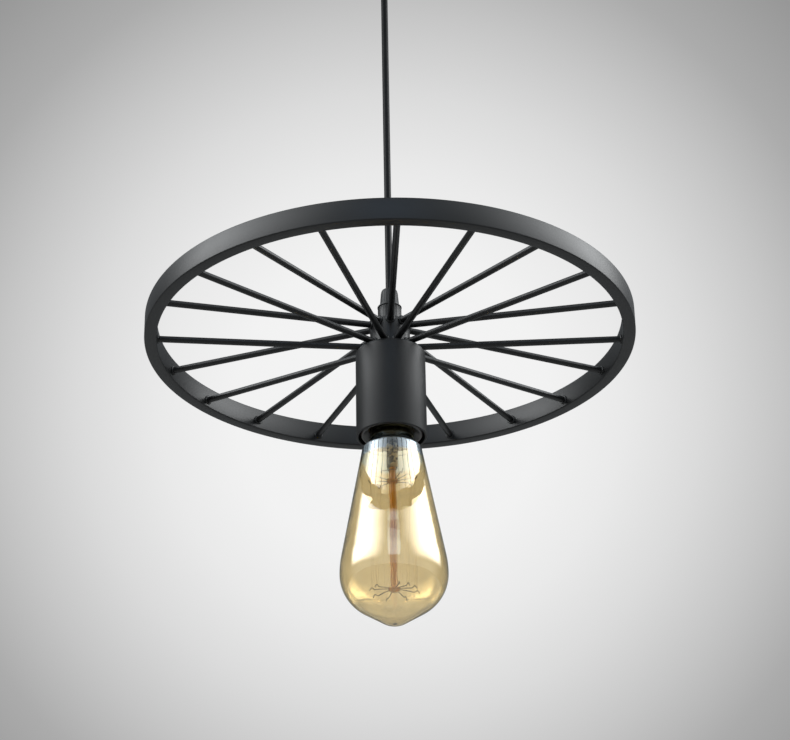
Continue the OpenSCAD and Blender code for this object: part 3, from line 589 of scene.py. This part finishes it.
# %% [markdown]
# ## The cord grips
# A grip is a moulded body with a screwed nut that squeezes a seal round the flex. Both are
# ribbed for the fingers. The ribs are made by drawing every third column of the lathe work
# inwards. The same grip hangs upside down under the ceiling cup.

# %% Cord grips
GRIP_TOP, CEILING_GRIP_FOOT = HUB_TOP + 24.0, -25.0
GRIP_STEPS, RIB_EVERY, RIB_INSIDE = 72, 3, 4.2      # nothing nearer the axis is ribbed


def ribbed(piece, low, high, depth):
    """Draws every third column of vertices between two heights in towards the axis."""
    for vertex in piece.data.vertices:
        height, radius = vertex.co.z / MM, math.hypot(vertex.co.x, vertex.co.y)
        degrees = math.degrees(math.atan2(vertex.co.y, vertex.co.x))
        column = round(degrees / (360 / GRIP_STEPS)) % RIB_EVERY
        if low < height < high and radius > RIB_INSIDE * MM and column == 0:
            vertex.co.x *= 1 - depth
            vertex.co.y *= 1 - depth


body = turned("hub_grip_shell", [
    (5.05, HUB_TOP), (7.0, HUB_TOP), (7.3, HUB_TOP + 0.3), (7.3, HUB_TOP + 1.2),
    (7.3, HUB_TOP + 1.4), (7.3, HUB_TOP + 10.2), (7.3, HUB_TOP + 10.4), (7.0, HUB_TOP + 11),
    (7.4, HUB_TOP + 11.1), (7.5, HUB_TOP + 11.3), (7.5, HUB_TOP + 11.7), (7.3, HUB_TOP + 12),
    (4.6, HUB_TOP + 12), (4.6, HUB_TOP + 17), (3.6, HUB_TOP + 17), (3.6, HUB_TOP + 8),
    (2.6, HUB_TOP + 8), (2.6, HUB_TOP + 7), (5.05, HUB_TOP + 7)], steps=GRIP_STEPS)
ribbed(body, HUB_TOP + 1.3, HUB_TOP + 10.3, 0.03)
smoothed(body, 40)
nut = turned("hub_grip_cap", [
    (4.65, HUB_TOP + 12), (5.9, HUB_TOP + 12), (6.1, HUB_TOP + 12.3), (6.1, HUB_TOP + 13),
    (5.9, HUB_TOP + 14), (5.3, HUB_TOP + 21.2)]
    + arc((3.4, GRIP_TOP - 1.6), 1.6, 8, 90, 6)
    + [(2.6, GRIP_TOP), (2.6, HUB_TOP + 21), (4.65, HUB_TOP + 17.6)], steps=GRIP_STEPS)
ribbed(nut, HUB_TOP + 13.5, HUB_TOP + 21.5, 0.05)
smoothed(nut, 40)

# The ceiling grip stands with its foot on the ceiling cup's underside
over = (Matrix.Translation((0, 0, CEILING_GRIP_FOOT * MM)) @ Matrix.Scale(-1, 4, (0, 0, 1))
        @ Matrix.Translation((0, 0, -HUB_TOP * MM)))
upper_body = copied(body, "canopy_grip_shell", over)
upper_nut = copied(nut, "canopy_grip_cap", over)
settled(body, "pendant", moulded, "grip_black", "hub_grip_body")
settled(nut, "pendant", moulded, "grip_black", "hub_grip_nut")
settled(upper_body, "ceiling", moulded, "grip_black", "canopy_grip_body")
settled(upper_nut, "ceiling", moulded, "grip_black", "canopy_grip_nut")
print("grips made, the flex leaves the lower one at", GRIP_TOP, "mm")

# %% [markdown]
# ## The socket cup
# The cup is spun from sheet: a flat top clamped under the hub, a small round shoulder and a
# straight wall. Its mouth is broken by a fine radius so that the edge catches a line of light.

# %% Socket cup
CUP_RADIUS, CUP_WALL, CUP_MOUTH, SHOULDER = 21.3, 1.3, -392.0, 2.6
LIP, INNER_LIP = 0.35, 0.25
cup_bore = CUP_RADIUS - CUP_WALL
shoulder_centre = (CUP_RADIUS - SHOULDER, HUB_FOOT - SHOULDER)
cup = turned("socket_cup_shell",
             [(NIPPLE_HOLE, HUB_FOOT)] + arc(shoulder_centre, SHOULDER, 90, 0, 10)
             + [(CUP_RADIUS, CUP_MOUTH + LIP)]
             + arc((CUP_RADIUS - LIP, CUP_MOUTH + LIP), LIP, -20, -90, 3)
             + [(cup_bore + INNER_LIP, CUP_MOUTH), (cup_bore, CUP_MOUTH + INNER_LIP)]
             + arc(shoulder_centre, SHOULDER - CUP_WALL, 0, 90, 8)
             + [(NIPPLE_HOLE, HUB_FOOT - CUP_WALL)], steps=128)
smoothed(cup, 40)
settled(cup, "pendant", cup_powder, "satin_black", "socket_cup")
print("cup:", len(cup.data.polygons), "faces")

# %% [markdown]
# ## The screw threads
# The bulb's cap and the shell that takes it are thin sheet rolled into one round thread. Each
# is turned with many rings, then its rings are pushed in and out by a cosine that climbs one
# pitch in each turn. Both threads share the same phase, so the crests sit in the grooves.

# %% Bulb cap and screw shell
PITCH, RUN_OUT = 3.629, 1.5           # a thread fades away over its run-out
CAP_RIM, CAP_TOP, CAP_THREAD_DEPTH = -393.5, -372.0, 0.45
SHELL_TOP, SHELL_FOOT, SHELL_THREAD_DEPTH = -363.1, -386.0, 0.38


def threaded(piece, low, high, depth):
    """Rolls a right-hand thread into a turned piece between two heights."""
    for vertex in piece.data.vertices:
        height = vertex.co.z / MM
        fade = (min(max((height - low) / RUN_OUT, 0), 1)
                * min(max((high - height) / RUN_OUT, 0), 1))
        angle = math.atan2(vertex.co.y, vertex.co.x)
        swell = depth * fade * math.cos(2 * math.pi * height / PITCH - angle)
        radius = math.hypot(vertex.co.x, vertex.co.y)
        if radius > 0 and fade > 0:
            vertex.co.x *= (radius + swell * MM) / radius
            vertex.co.y *= (radius + swell * MM) / radius


def wall(radius, low, high, step=0.3):
    """Closely spaced points up a straight wall."""
    count = max(1, round(abs(high - low) / step))
    return [(radius, low + (high - low) * i / count) for i in range(count + 1)]


cap = turned("bulb_cap_shell",
             [(13.3, CAP_RIM), (13.3, CAP_RIM + 2)] + wall(12.6, CAP_RIM + 3, CAP_TOP - 1.6)
             + [(11.2, CAP_TOP), (10.1, CAP_TOP), (10.1, CAP_TOP - 0.4), (10.8, CAP_TOP - 0.4)]
             + wall(12.2, CAP_TOP - 2.0, CAP_RIM + 3)
             + [(12.9, CAP_RIM + 2), (12.9, CAP_RIM)], steps=72)
cap_thread = (CAP_RIM + 3.2, CAP_TOP - 1.7)
threaded(cap, *cap_thread, CAP_THREAD_DEPTH)
smoothed(cap, 45)
settled(cap, "bulb", brass_with_painted_shade, "brass", "bulb_cap")

shell = turned("holder_screw_shell",
               [(10.1, SHELL_TOP), (14.1, SHELL_TOP)]
               + wall(13.7, SHELL_TOP - 1.1, SHELL_FOOT + 1.4)
               + [(14.1, SHELL_FOOT), (13.4, SHELL_FOOT)]
               + wall(13.1, SHELL_FOOT + 1.4, SHELL_TOP - 1.5)
               + [(13.3, SHELL_TOP - 0.7), (10.1, SHELL_TOP - 0.7)], steps=72)
threaded(shell, SHELL_FOOT + 1.0, SHELL_TOP - 0.9, SHELL_THREAD_DEPTH)
smoothed(shell, 45)
settled(shell, "pendant", brass, "brass", "screw_shell")
print("thread turns on the cap:", round((cap_thread[1] - cap_thread[0]) / PITCH, 1))

# %% [markdown]
# ## The bulb's glass
# The outline is drawn from its arcs: a tight shoulder, a long straight flare, the broad belly
# and a pointed nose with a rounded tip. It has two walls, so light bends through it as it does
# through real blown glass. A drop of thicker glass marks where the tip was sealed off.

# %% Glass envelope
BELLY_R, BELLY_Z, GLASS = 31.75, CAP_RIM - 86.5, 0.8
NECK_R, NECK_TOP = 12.1, CAP_RIM + 6.5
UPPER_R, LOWER_R, TIP_R, SHOULDER_R = 60.0, 25.0, 14.0, 6.0
FLARE, NOSE = 10.6, 57.0              # degrees off the upright and off the level
LOWEST_MIDDLE = -490.0                # the middle that the nose's faces are measured from
BEAD_RADIUS, BEAD_GRAIN, BEAD_LUMP, BEAD_LIFT = 1.0, 0.8, 0.45, 0.3


def glass_outline(inset):
    """Half outline of the glass from its neck to its tip, at a depth under the outer face."""
    upper = (BELLY_R - UPPER_R, BELLY_Z)
    lower = (BELLY_R - LOWER_R, BELLY_Z)
    nose, flare = math.radians(NOSE), math.radians(FLARE)
    end = (lower[0] + LOWER_R * math.cos(nose), lower[1] - LOWER_R * math.sin(nose))
    run = (end[0] - TIP_R * math.cos(nose)) / math.sin(nose)
    tip = (0, end[1] - run * math.cos(nose) + TIP_R * math.sin(nose))
    side = (upper[0] + (UPPER_R - SHOULDER_R) * math.cos(flare),
            upper[1] + (UPPER_R - SHOULDER_R) * math.sin(flare))
    shoulder_z = CAP_RIM - 2.6 - SHOULDER_R
    shoulder = (side[0] - (shoulder_z - side[1]) * math.tan(flare), shoulder_z)
    return ([(NECK_R - inset, NECK_TOP), (NECK_R - inset, CAP_RIM + 2),
             (NECK_R - inset, CAP_RIM - 0.5)]
            + arc(shoulder, SHOULDER_R - inset, 62, FLARE, 12)
            + arc(upper, UPPER_R - inset, FLARE, 0, 12)
            + arc(lower, LOWER_R - inset, -NOSE / 20, -NOSE, 19)
            + arc(tip, TIP_R - inset, -NOSE - 3, -90, 8))


outer, inner = glass_outline(0), glass_outline(GLASS)
glass = turned("bulb_envelope", outer + inner[::-1], steps=160)
smoothed(glass, 40)
settled(glass, "bulb", amber, "amber_glass", "bulb_glass")

# The inner face looks back at the bulb's middle, and has no lustre on it
glass.data.materials.append(bare_glass.material)
for face in glass.data.polygons:
    middle = Vector((0, 0, max(face.center.z, LOWEST_MIDDLE * MM)))
    face.material_index = int((face.center - middle).dot(face.normal) < 0)
bare = sum(face.material_index for face in glass.data.polygons)

# Where the tip was melted shut a dark, lumpy bead is left on the inside
deselect()
bpy.ops.mesh.primitive_ico_sphere_add(subdivisions=4, radius=BEAD_RADIUS * MM)
bead = bpy.context.object
bead.name = bead.data.name = "tip_bead"
for vertex in bead.data.vertices:
    lump = noise.noise(Vector(vertex.co) / (BEAD_GRAIN * MM) + Vector((4, 0, 0)))
    vertex.co *= 1 + BEAD_LUMP * lump
bead.data.transform(Matrix.Translation((0, 0, (inner[-1][1] + BEAD_LIFT) * MM))
                    @ Matrix.Diagonal((1.2, 0.9, 0.6, 1)))
settled(smoothed(bead, 60), "bulb", black_glass, "rod_glass", "bulb_glass")
print("glass from", round(outer[0][1], 1), "to", round(outer[-1][1], 1), "mm,", bare, "bare faces")

# %% [markdown]
# ## The filament cage
# A rod of amber glass carries two buttons. Fine hooks stand out of each button, and one long
# filament zigzags over them. The buttons are melted on, so they blend into the rod, and the
# wires are bent by hand, so each hook is a smooth curve.

# %% Rod and its buttons
PRESS_Z, UPPER_BUTTON, LOWER_BUTTON = CAP_RIM - 18.5, CAP_RIM - 27.5, CAP_RIM - 96.0
ROD_R, BUTTON_R = 2.05, 3.5


def button(height):
    """The bulge of a button, from just under its upper edge to its lower rounding."""
    return [(2.3, height + 1.2), (3.2, height + 1.0), (BUTTON_R, height + 0.4),
            (BUTTON_R, height - 0.4), (3.2, height - 1.0)]


rod_outline = [(0, PRESS_Z - 0.05), (1.7, PRESS_Z - 0.05), (ROD_R, PRESS_Z - 0.6),
               (ROD_R, UPPER_BUTTON + 2.2)]
rod_outline += button(UPPER_BUTTON) + [(2.3, UPPER_BUTTON - 1.2), (ROD_R, UPPER_BUTTON - 2.2)]
rod_outline += [(ROD_R, z) for z in range(-425, -485, -10)] + [(ROD_R, LOWER_BUTTON + 2.0)]
rod_outline += button(LOWER_BUTTON) + [(2.0, LOWER_BUTTON - 1.2), (0, LOWER_BUTTON - 1.2)]
rod = turned("cage_rod", rod_outline, steps=48, closed=False)
smoothed(rod, 60)
settled(rod, "bulb", rod_glass, "rod_glass", "stem_rod")
print("rod from", rod_outline[0][1], "to", rod_outline[-1][1], "mm")

# %% [markdown]
# The rod hangs from the stem: a tube that flares out to the neck at its top and is pinched flat
# round the two leads at its foot. The pinch is turned as a round plug, then squeezed flat and
# made lumpy, the way soft glass comes out of the tongs.

# %% Stem and its press
PRESS_WIDTH, PRESS_THICKNESS, STEM_END = 7.4, 3.4, CAP_RIM - 3.0
SQUEEZE, PRESS_LUMP, PRESS_GRAIN = 5.0, 0.10, 2.2
# The lower hooks' directions. An upper hook stands between each two of them.
lower_degs = [280, 305, 330, 365, 418, 467, 504, 553, 580]
upper_degs = [(a + b) / 2 for a, b in zip(lower_degs, lower_degs[1:])]
lead_degs = [lower_degs[0] - 20, lower_degs[-1] + 20]
press_deg = (lead_degs[0] + lead_degs[1] - 360) / 2 + 90

flare_centre = (NECK_R - 1.5, STEM_END)
tube_radius = 0.45 * PRESS_WIDTH
flare_arc = NECK_R - 1.5 - tube_radius
stem = turned("stem_tube",
              [(NECK_R - GLASS - 0.1, NECK_TOP), (NECK_R - GLASS - 0.1, NECK_TOP - 1.4)]
              + arc(flare_centre, flare_arc, 110, 180, 10)
              + arc(flare_centre, flare_arc + 0.9, 180, 105, 10), steps=72)
smoothed(stem, 50)


def smooth_step(low, high, value):
    """0 on the low value's side, 1 on the high one's, and a soft slope between."""
    share = min(max((value - low) / (high - low), 0), 1)
    return share * share * (3 - 2 * share)


press = turned("stem_press", [(0, STEM_END), (0.9, STEM_END), (1.0, STEM_END - 0.4)]
               + wall(1.0, STEM_END - 0.9, PRESS_Z + 1.2, 0.5)
               + [(0.93, PRESS_Z + 0.5), (0.75, PRESS_Z + 0.12), (0.5, PRESS_Z), (0, PRESS_Z)],
               steps=64, closed=False)
for vertex in press.data.vertices:
    squeezed = smooth_step(STEM_END, STEM_END - SQUEEZE, vertex.co.z / MM)
    lump = 1 + PRESS_LUMP * noise.noise(Vector(vertex.co) / (PRESS_GRAIN * MM))
    vertex.co.x *= lump * (tube_radius + squeezed * (PRESS_WIDTH / 2 - 0.3 - tube_radius))
    vertex.co.y *= lump * (tube_radius + squeezed * (PRESS_THICKNESS / 2 - tube_radius))
press.data.transform(Matrix.Rotation(math.radians(press_deg), 4, "Z"))
smoothed(press, 60)
settled(stem, "bulb", stem_glass, "stem_glass", "glass_stem")
settled(press, "bulb", press_glass, "stem_glass", "glass_stem")
print("press from", STEM_END, "to", PRESS_Z, "mm, turned by", press_deg, "degrees")

# %% [markdown]
# Each wire follows a smooth line through a few points and has a round section. A hook runs out
# of its button, over a crook and down. The filament lies in every crook in turn, and its two
# ends meet the leads, which carry lumps of slag where they were welded inside the press.

# %% Hooks, leads and filament
REACH, LOOP = 13.4, 0.55              # how far the crooks are out, and half a loop's width
HOOK_ROOT, LEAD_OUT = 3.3, 2.57
WIRE_RADIUS, FILAMENT_RADIUS = 0.22, 0.06
SLAG_LUMP, SLAG_GRAIN = 0.35, 0.6


def around(radius, deg, height):
    """A point at a height on a circle round the axis, in metres."""
    return Vector((radius * math.cos(math.radians(deg)), radius * math.sin(math.radians(deg)),
                   height)) * MM


def wires(name, runs, radius, sides=3):
    """Round wires along smooth lines, made into one mesh."""
    deselect()
    curve = bpy.data.curves.new(name, "CURVE")
    curve.dimensions = "3D"
    for points in runs:
        bent = curve.splines.new("BEZIER")
        bent.bezier_points.add(len(points) - 1)
        for knot, place in zip(bent.bezier_points, points):
            knot.co = place
            knot.handle_left_type = knot.handle_right_type = "AUTO"
    curve.resolution_u = 6
    curve.bevel_depth, curve.bevel_resolution = radius * MM, sides
    curve.use_fill_caps = True
    piece = bpy.data.objects.new(name, curve)
    bpy.context.scene.collection.objects.link(piece)
    pick(piece)
    bpy.ops.object.convert(target="MESH")
    piece = bpy.context.object
    bpy.ops.object.mode_set(mode="EDIT")
    bpy.ops.mesh.select_all(action="SELECT")
    bpy.ops.mesh.remove_doubles(threshold=WIRE_SEAM)
    bpy.ops.mesh.normals_make_consistent(inside=False)
    bpy.ops.object.mode_set(mode="OBJECT")
    return smoothed(piece, 60)


def hook(deg, z, up):
    """Out from the button, over the crook and down again."""
    return [around(HOOK_ROOT, deg, z), around(REACH - 3.6, deg, z - up * 1.0),
            around(REACH - 1.6, deg, z - up * 1.3), around(REACH, deg, z - up * 0.2),
            around(REACH + 0.35, deg, z - up * 0.35), around(REACH + 1.4, deg, z - up * 2.2)]


def loop(deg, z, up):
    """The filament's three points over one crook."""
    out = around(REACH, deg, z)
    aside = Vector((-math.sin(math.radians(deg)), math.cos(math.radians(deg)), 0)) * LOOP * MM
    sink = Vector((0, 0, up * 0.3 * MM))
    return [out - aside - sink, out - Vector((0, 0, up * 0.75 * MM)), out + aside - sink]


upper_hooks = wires("upper_hook_wires", [hook(deg, UPPER_BUTTON, -1) for deg in upper_degs],
                    WIRE_RADIUS)
lower_hooks = wires("lower_hook_wires", [hook(deg, LOWER_BUTTON, 1) for deg in lower_degs],
                    WIRE_RADIUS)
settled(upper_hooks, "bulb", hook_wire, "hook_wire", "upper_hooks")
settled(lower_hooks, "bulb", hook_wire, "hook_wire", "lower_hooks")


def lead(side):
    """Down through the press, then out to one end of the filament."""
    deg, pressed = lead_degs[side], press_deg + 180 * side
    return [around(LEAD_OUT, pressed, NECK_TOP), around(LEAD_OUT, pressed, PRESS_Z),
            around(LEAD_OUT, pressed, PRESS_Z - 1.2), around(REACH * 0.4, deg, PRESS_Z - 3.4),
            around(REACH * 0.8, deg, UPPER_BUTTON + 2.6), around(REACH, deg, UPPER_BUTTON + 1.2),
            around(REACH, deg, UPPER_BUTTON)]


def knot(side, height, forward, radius):
    """A lump of slag on one lead inside the press, a little in front of its middle line."""
    deselect()
    bpy.ops.mesh.primitive_ico_sphere_add(subdivisions=4, radius=radius * MM)
    lump = bpy.context.object
    for vertex in lump.data.vertices:
        swell = noise.noise(Vector(vertex.co) / (SLAG_GRAIN * MM) + Vector((height, 0, 0)))
        vertex.co *= 1 + SLAG_LUMP * swell
    lump.data.transform(Matrix.Translation(around(LEAD_OUT, press_deg + 180 * side, height)
                                           - Vector((0, forward * MM, 0))))
    return lump


leads = wires("lead_wire_pair", [lead(0), lead(1)], WIRE_RADIUS)
knots = [knot(0, -400.4, 0.9, 1.0), knot(0, -402.8, 0.7, 0.7), knot(0, -406.9, 0.4, 0.8),
         knot(1, -399.8, 1.7, 0.7), knot(1, -402.4, 1.8, 0.9), knot(1, -404.9, 1.6, 0.6)]
deselect()
for part in [*knots, leads]:
    part.select_set(True)
bpy.context.view_layer.objects.active = leads
bpy.ops.object.join()
settled(smoothed(leads, 60), "bulb", hook_wire, "hook_wire", "lead_wires")

zigzag = [around(REACH, lead_degs[0], UPPER_BUTTON - 0.4)]
for i, deg in enumerate(lower_degs):
    zigzag += loop(deg, LOWER_BUTTON - 0.2, 1)
    if i < len(upper_degs):
        zigzag += loop(upper_degs[i], UPPER_BUTTON + 0.2, -1)
zigzag.append(around(REACH, lead_degs[1], UPPER_BUTTON - 0.4))
filament = wires("cage_filament", [zigzag], FILAMENT_RADIUS, 2)
settled(filament, "bulb", filament_wire, "filament_wire", "filament")
print("hooks:", len(lower_degs), "below,", len(upper_degs), "above")

# %% [markdown]
# ## The pieces that stay as they are
# The other solids already have the right shape, so each only gets its finish.

# %% Finishes on the carried-over nodes
kept_finishes = {
    powder: ["canopy", "canopy_screws"],
    sheath: ["ceiling_flex_end", "cord_bend", "lamp_flex_end"],
    rubber: ["canopy_grip_seal", "hub_grip_seal"],
    zinc: ["ceiling_bracket", "terminal_screws", "canopy_nipple", "canopy_locknut",
           "hub_nipple", "cup_nut"],
    insulation: ["ceiling_cores", "lamp_cores"],
    block: ["terminal_block"],
    phenolic: ["lampholder_cap", "lampholder_skirt"],
    ceramic: ["contact_plate"],
    brass: ["centre_contact"],
    solder: ["bulb_tip"],
    black_glass: ["cap_insulator"],
}
for finish, names in kept_finishes.items():
    for name in names:
        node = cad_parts[name]
        node.data.materials.clear()
        node.data.materials.append(finish.material)
print("kept nodes:", sum(len(names) for names in kept_finishes.values()))

# %% [markdown]
# ## The studio
# A broad soft light stands on each side. They give the two soft stripes down the cup and the
# white shapes on the bulb. A faint one hangs above, and a small cold one behind and above the
# camera gives the pale strip in the middle of the bulb.

# %% Lights
AIM = Vector((0, 0, -0.4))            # all lights face the bulb's neck


def soft_light(name, place, size, level, colour, across, along):
    """An area light whose face is about that bright in its middle and fades towards its edges:
    across and along give the share of its width and height that fades at the start and the end."""
    deselect()
    bpy.ops.object.light_add(type="AREA", location=place)
    lamp = bpy.context.object
    lamp.name = name
    lamp.data.shape, lamp.data.size, lamp.data.size_y = "RECTANGLE", *size
    lamp.data.energy = level * math.pi * size[0] * size[1]
    lamp.data.color = colour
    lamp.rotation_mode = "QUATERNION"
    lamp.rotation_quaternion = (AIM - Vector(place)).to_track_quat("-Z", "Y")
    lamp.data.use_nodes = True
    tree = lamp.data.node_tree
    face = add_node(tree, "ShaderNodeNewGeometry", output="Parametric")
    sides = add_node(tree, "ShaderNodeSeparateXYZ", None, {"Vector": face})
    level_here = 1.0
    for side, fades in (("X", across), ("Y", along)):
        share = Level(tree, sides.socket.node.outputs[side])
        for distance, fade in ((share, fades[0]), (1.0 - share, fades[1])):
            level_here = level_here * add_node(
                tree, "ShaderNodeMapRange", {"interpolation_type": "SMOOTHSTEP"},
                {"Value": distance, "From Max": fade})
    tree.links.new(level_here.socket, tree.nodes["Emission"].inputs["Strength"])


COOL, COLD = (0.97, 0.99, 1.0), (0.43, 0.66, 1.0)
soft_light("left_softbox", (-1.01, -0.47, 0.27), (2.1, 1.1), 10.5, COOL, (0.3, 0.8), (0.5, 0.5))
soft_light("right_softbox", (1.08, -0.28, 0.31), (2.3, 1.1), 10.8, COOL, (0.85, 0.3), (0.5, 0.5))
soft_light("top_softbox", (0, -0.62, 0.95), (1.9, 1.3), 0.4, COOL, (0.25, 0.25), (0.25, 0.25))
soft_light("slot_light", (-0.03, -1.23, 0.31), (0.62, 0.68), 1.3, COLD, (0.03, 0.03), (0.03, 0.03))

# %% [markdown]
# ## The backdrop
# Behind the lamp the backdrop glows in a round patch and falls off all round. That picture is
# for the camera and for what is seen through glass. All other rays meet a plain, cool room.

# %% Backdrop
GLOW_REACH = math.radians(40)         # from the middle of the glow to the last stop
ROOM_BEHIND, ROOM_IN_FRONT = 0.2, 0.80
TOP_SHARE, TOP_SIDES = 0.9, 1.6       # how much the top dims the room, and its two bright sides
world = bpy.context.scene.world or bpy.data.worlds.new("backdrop")
bpy.context.scene.world = world
world.use_nodes = True
sky = world.node_tree
sky.nodes.clear()
GLOW_PIXEL = (391, 404)      # where the glow is brightest in the picture
towards_glow = Vector(((GLOW_PIXEL[0] - FRAME_WIDTH / 2) / FOCAL_PIXELS,
                       (FRAME_HEIGHT / 2 - GLOW_PIXEL[1]) / FOCAL_PIXELS, -1))
glow_centre = (camera.rotation_quaternion @ towards_glow).normalized()
direction = add_node(sky, "ShaderNodeTexCoord", output="Generated")
facing = add_node(sky, "ShaderNodeVectorMath", {"operation": "DOT_PRODUCT"},
                  {0: direction, 1: glow_centre}, output="Value")
spread = add_node(sky, "ShaderNodeMath", {"operation": "ARCCOSINE"}, {0: facing})


def grey(level):
    """A neutral colour."""
    return (level, level, level, 1)


shown = add_node(sky, "ShaderNodeValToRGB",
                 {"stops": [(0.05, grey(0.90)), (0.10, grey(0.89)), (0.15, grey(0.82)),
                            (0.20, grey(0.707)), (0.25, grey(0.564)), (0.30, grey(0.41)),
                            (0.36, grey(0.31)), (0.50, grey(0.36)), (1.0, grey(0.50))]},
                 {"Fac": spread / GLOW_REACH})
rays = add_node(sky, "ShaderNodeLightPath", output="Is Camera Ray")
through = Level(sky, rays.socket.node.outputs["Is Transmission Ray"])
picture = add_node(sky, "ShaderNodeBackground", None, {"Color": shown, "Strength": 1.0})


def slope(value, low, high, start=0.0, end=1.0):
    """Goes smoothly from the start level to the end level while the value rises."""
    return add_node(sky, "ShaderNodeMapRange", {"interpolation_type": "SMOOTHSTEP"},
                    {"Value": value, "From Min": low, "From Max": high,
                     "To Min": start, "To Max": end})


# The room is dim behind the lamp and brighter in front of it. High up it is bright on both
# sides and dim in the middle.
sideways = add_node(sky, "ShaderNodeSeparateXYZ", None, {"Vector": direction}, output="X")
backward = Level(sky, sideways.socket.node.outputs["Y"])
upward = Level(sky, sideways.socket.node.outputs["Z"])
aside = add_node(sky, "ShaderNodeMath", {"operation": "ABSOLUTE"}, {0: sideways})
high_up = slope(upward, 0.56, 0.72)
level_room = slope(backward, -0.2, 0.4, ROOM_IN_FRONT, ROOM_BEHIND) * (1.0 - TOP_SHARE * high_up)
level_room = level_room + TOP_SIDES * high_up * slope(aside, 0.10, 0.50)
room = add_node(sky, "ShaderNodeBackground", None,
                {"Color": (0.88, 0.95, 1.0, 1), "Strength": level_room})
seen = add_node(sky, "ShaderNodeMath", {"operation": "MAXIMUM"}, {0: rays, 1: through})
mixed = add_node(sky, "ShaderNodeMixShader", None, {0: seen, 1: room, 2: picture})
world_end = sky.nodes.new("ShaderNodeOutputWorld")
sky.links.new(mixed.socket, world_end.inputs["Surface"])
print("backdrop glows towards", [round(v, 3) for v in glow_centre])

# %% [markdown]
# ## The floor
# The floor lies well below the lamp and is part of the stage. It is out of the main picture.

# %% Floor
FLOOR_SIZE, FLOOR_HEIGHT = 40, -2.2   # metres
deselect()
bpy.ops.mesh.primitive_plane_add(size=FLOOR_SIZE, location=(0, 0, FLOOR_HEIGHT))
floor = bpy.context.object
floor.name = "floor"
bpy.ops.object.transform_apply(location=True, rotation=True, scale=True)
plaster = Finish("pale_floor", (0.66, 0.64, 0.62), 0.8)
plaster.coloured(plaster.speckle(0.4), (0.64, 0.62, 0.60), (0.68, 0.66, 0.64))
floor.data.materials.append(plaster.material)

bpy.context.scene.view_settings.view_transform = "Standard"
print("floor at", round(floor.data.vertices[0].co.z, 2), "m")
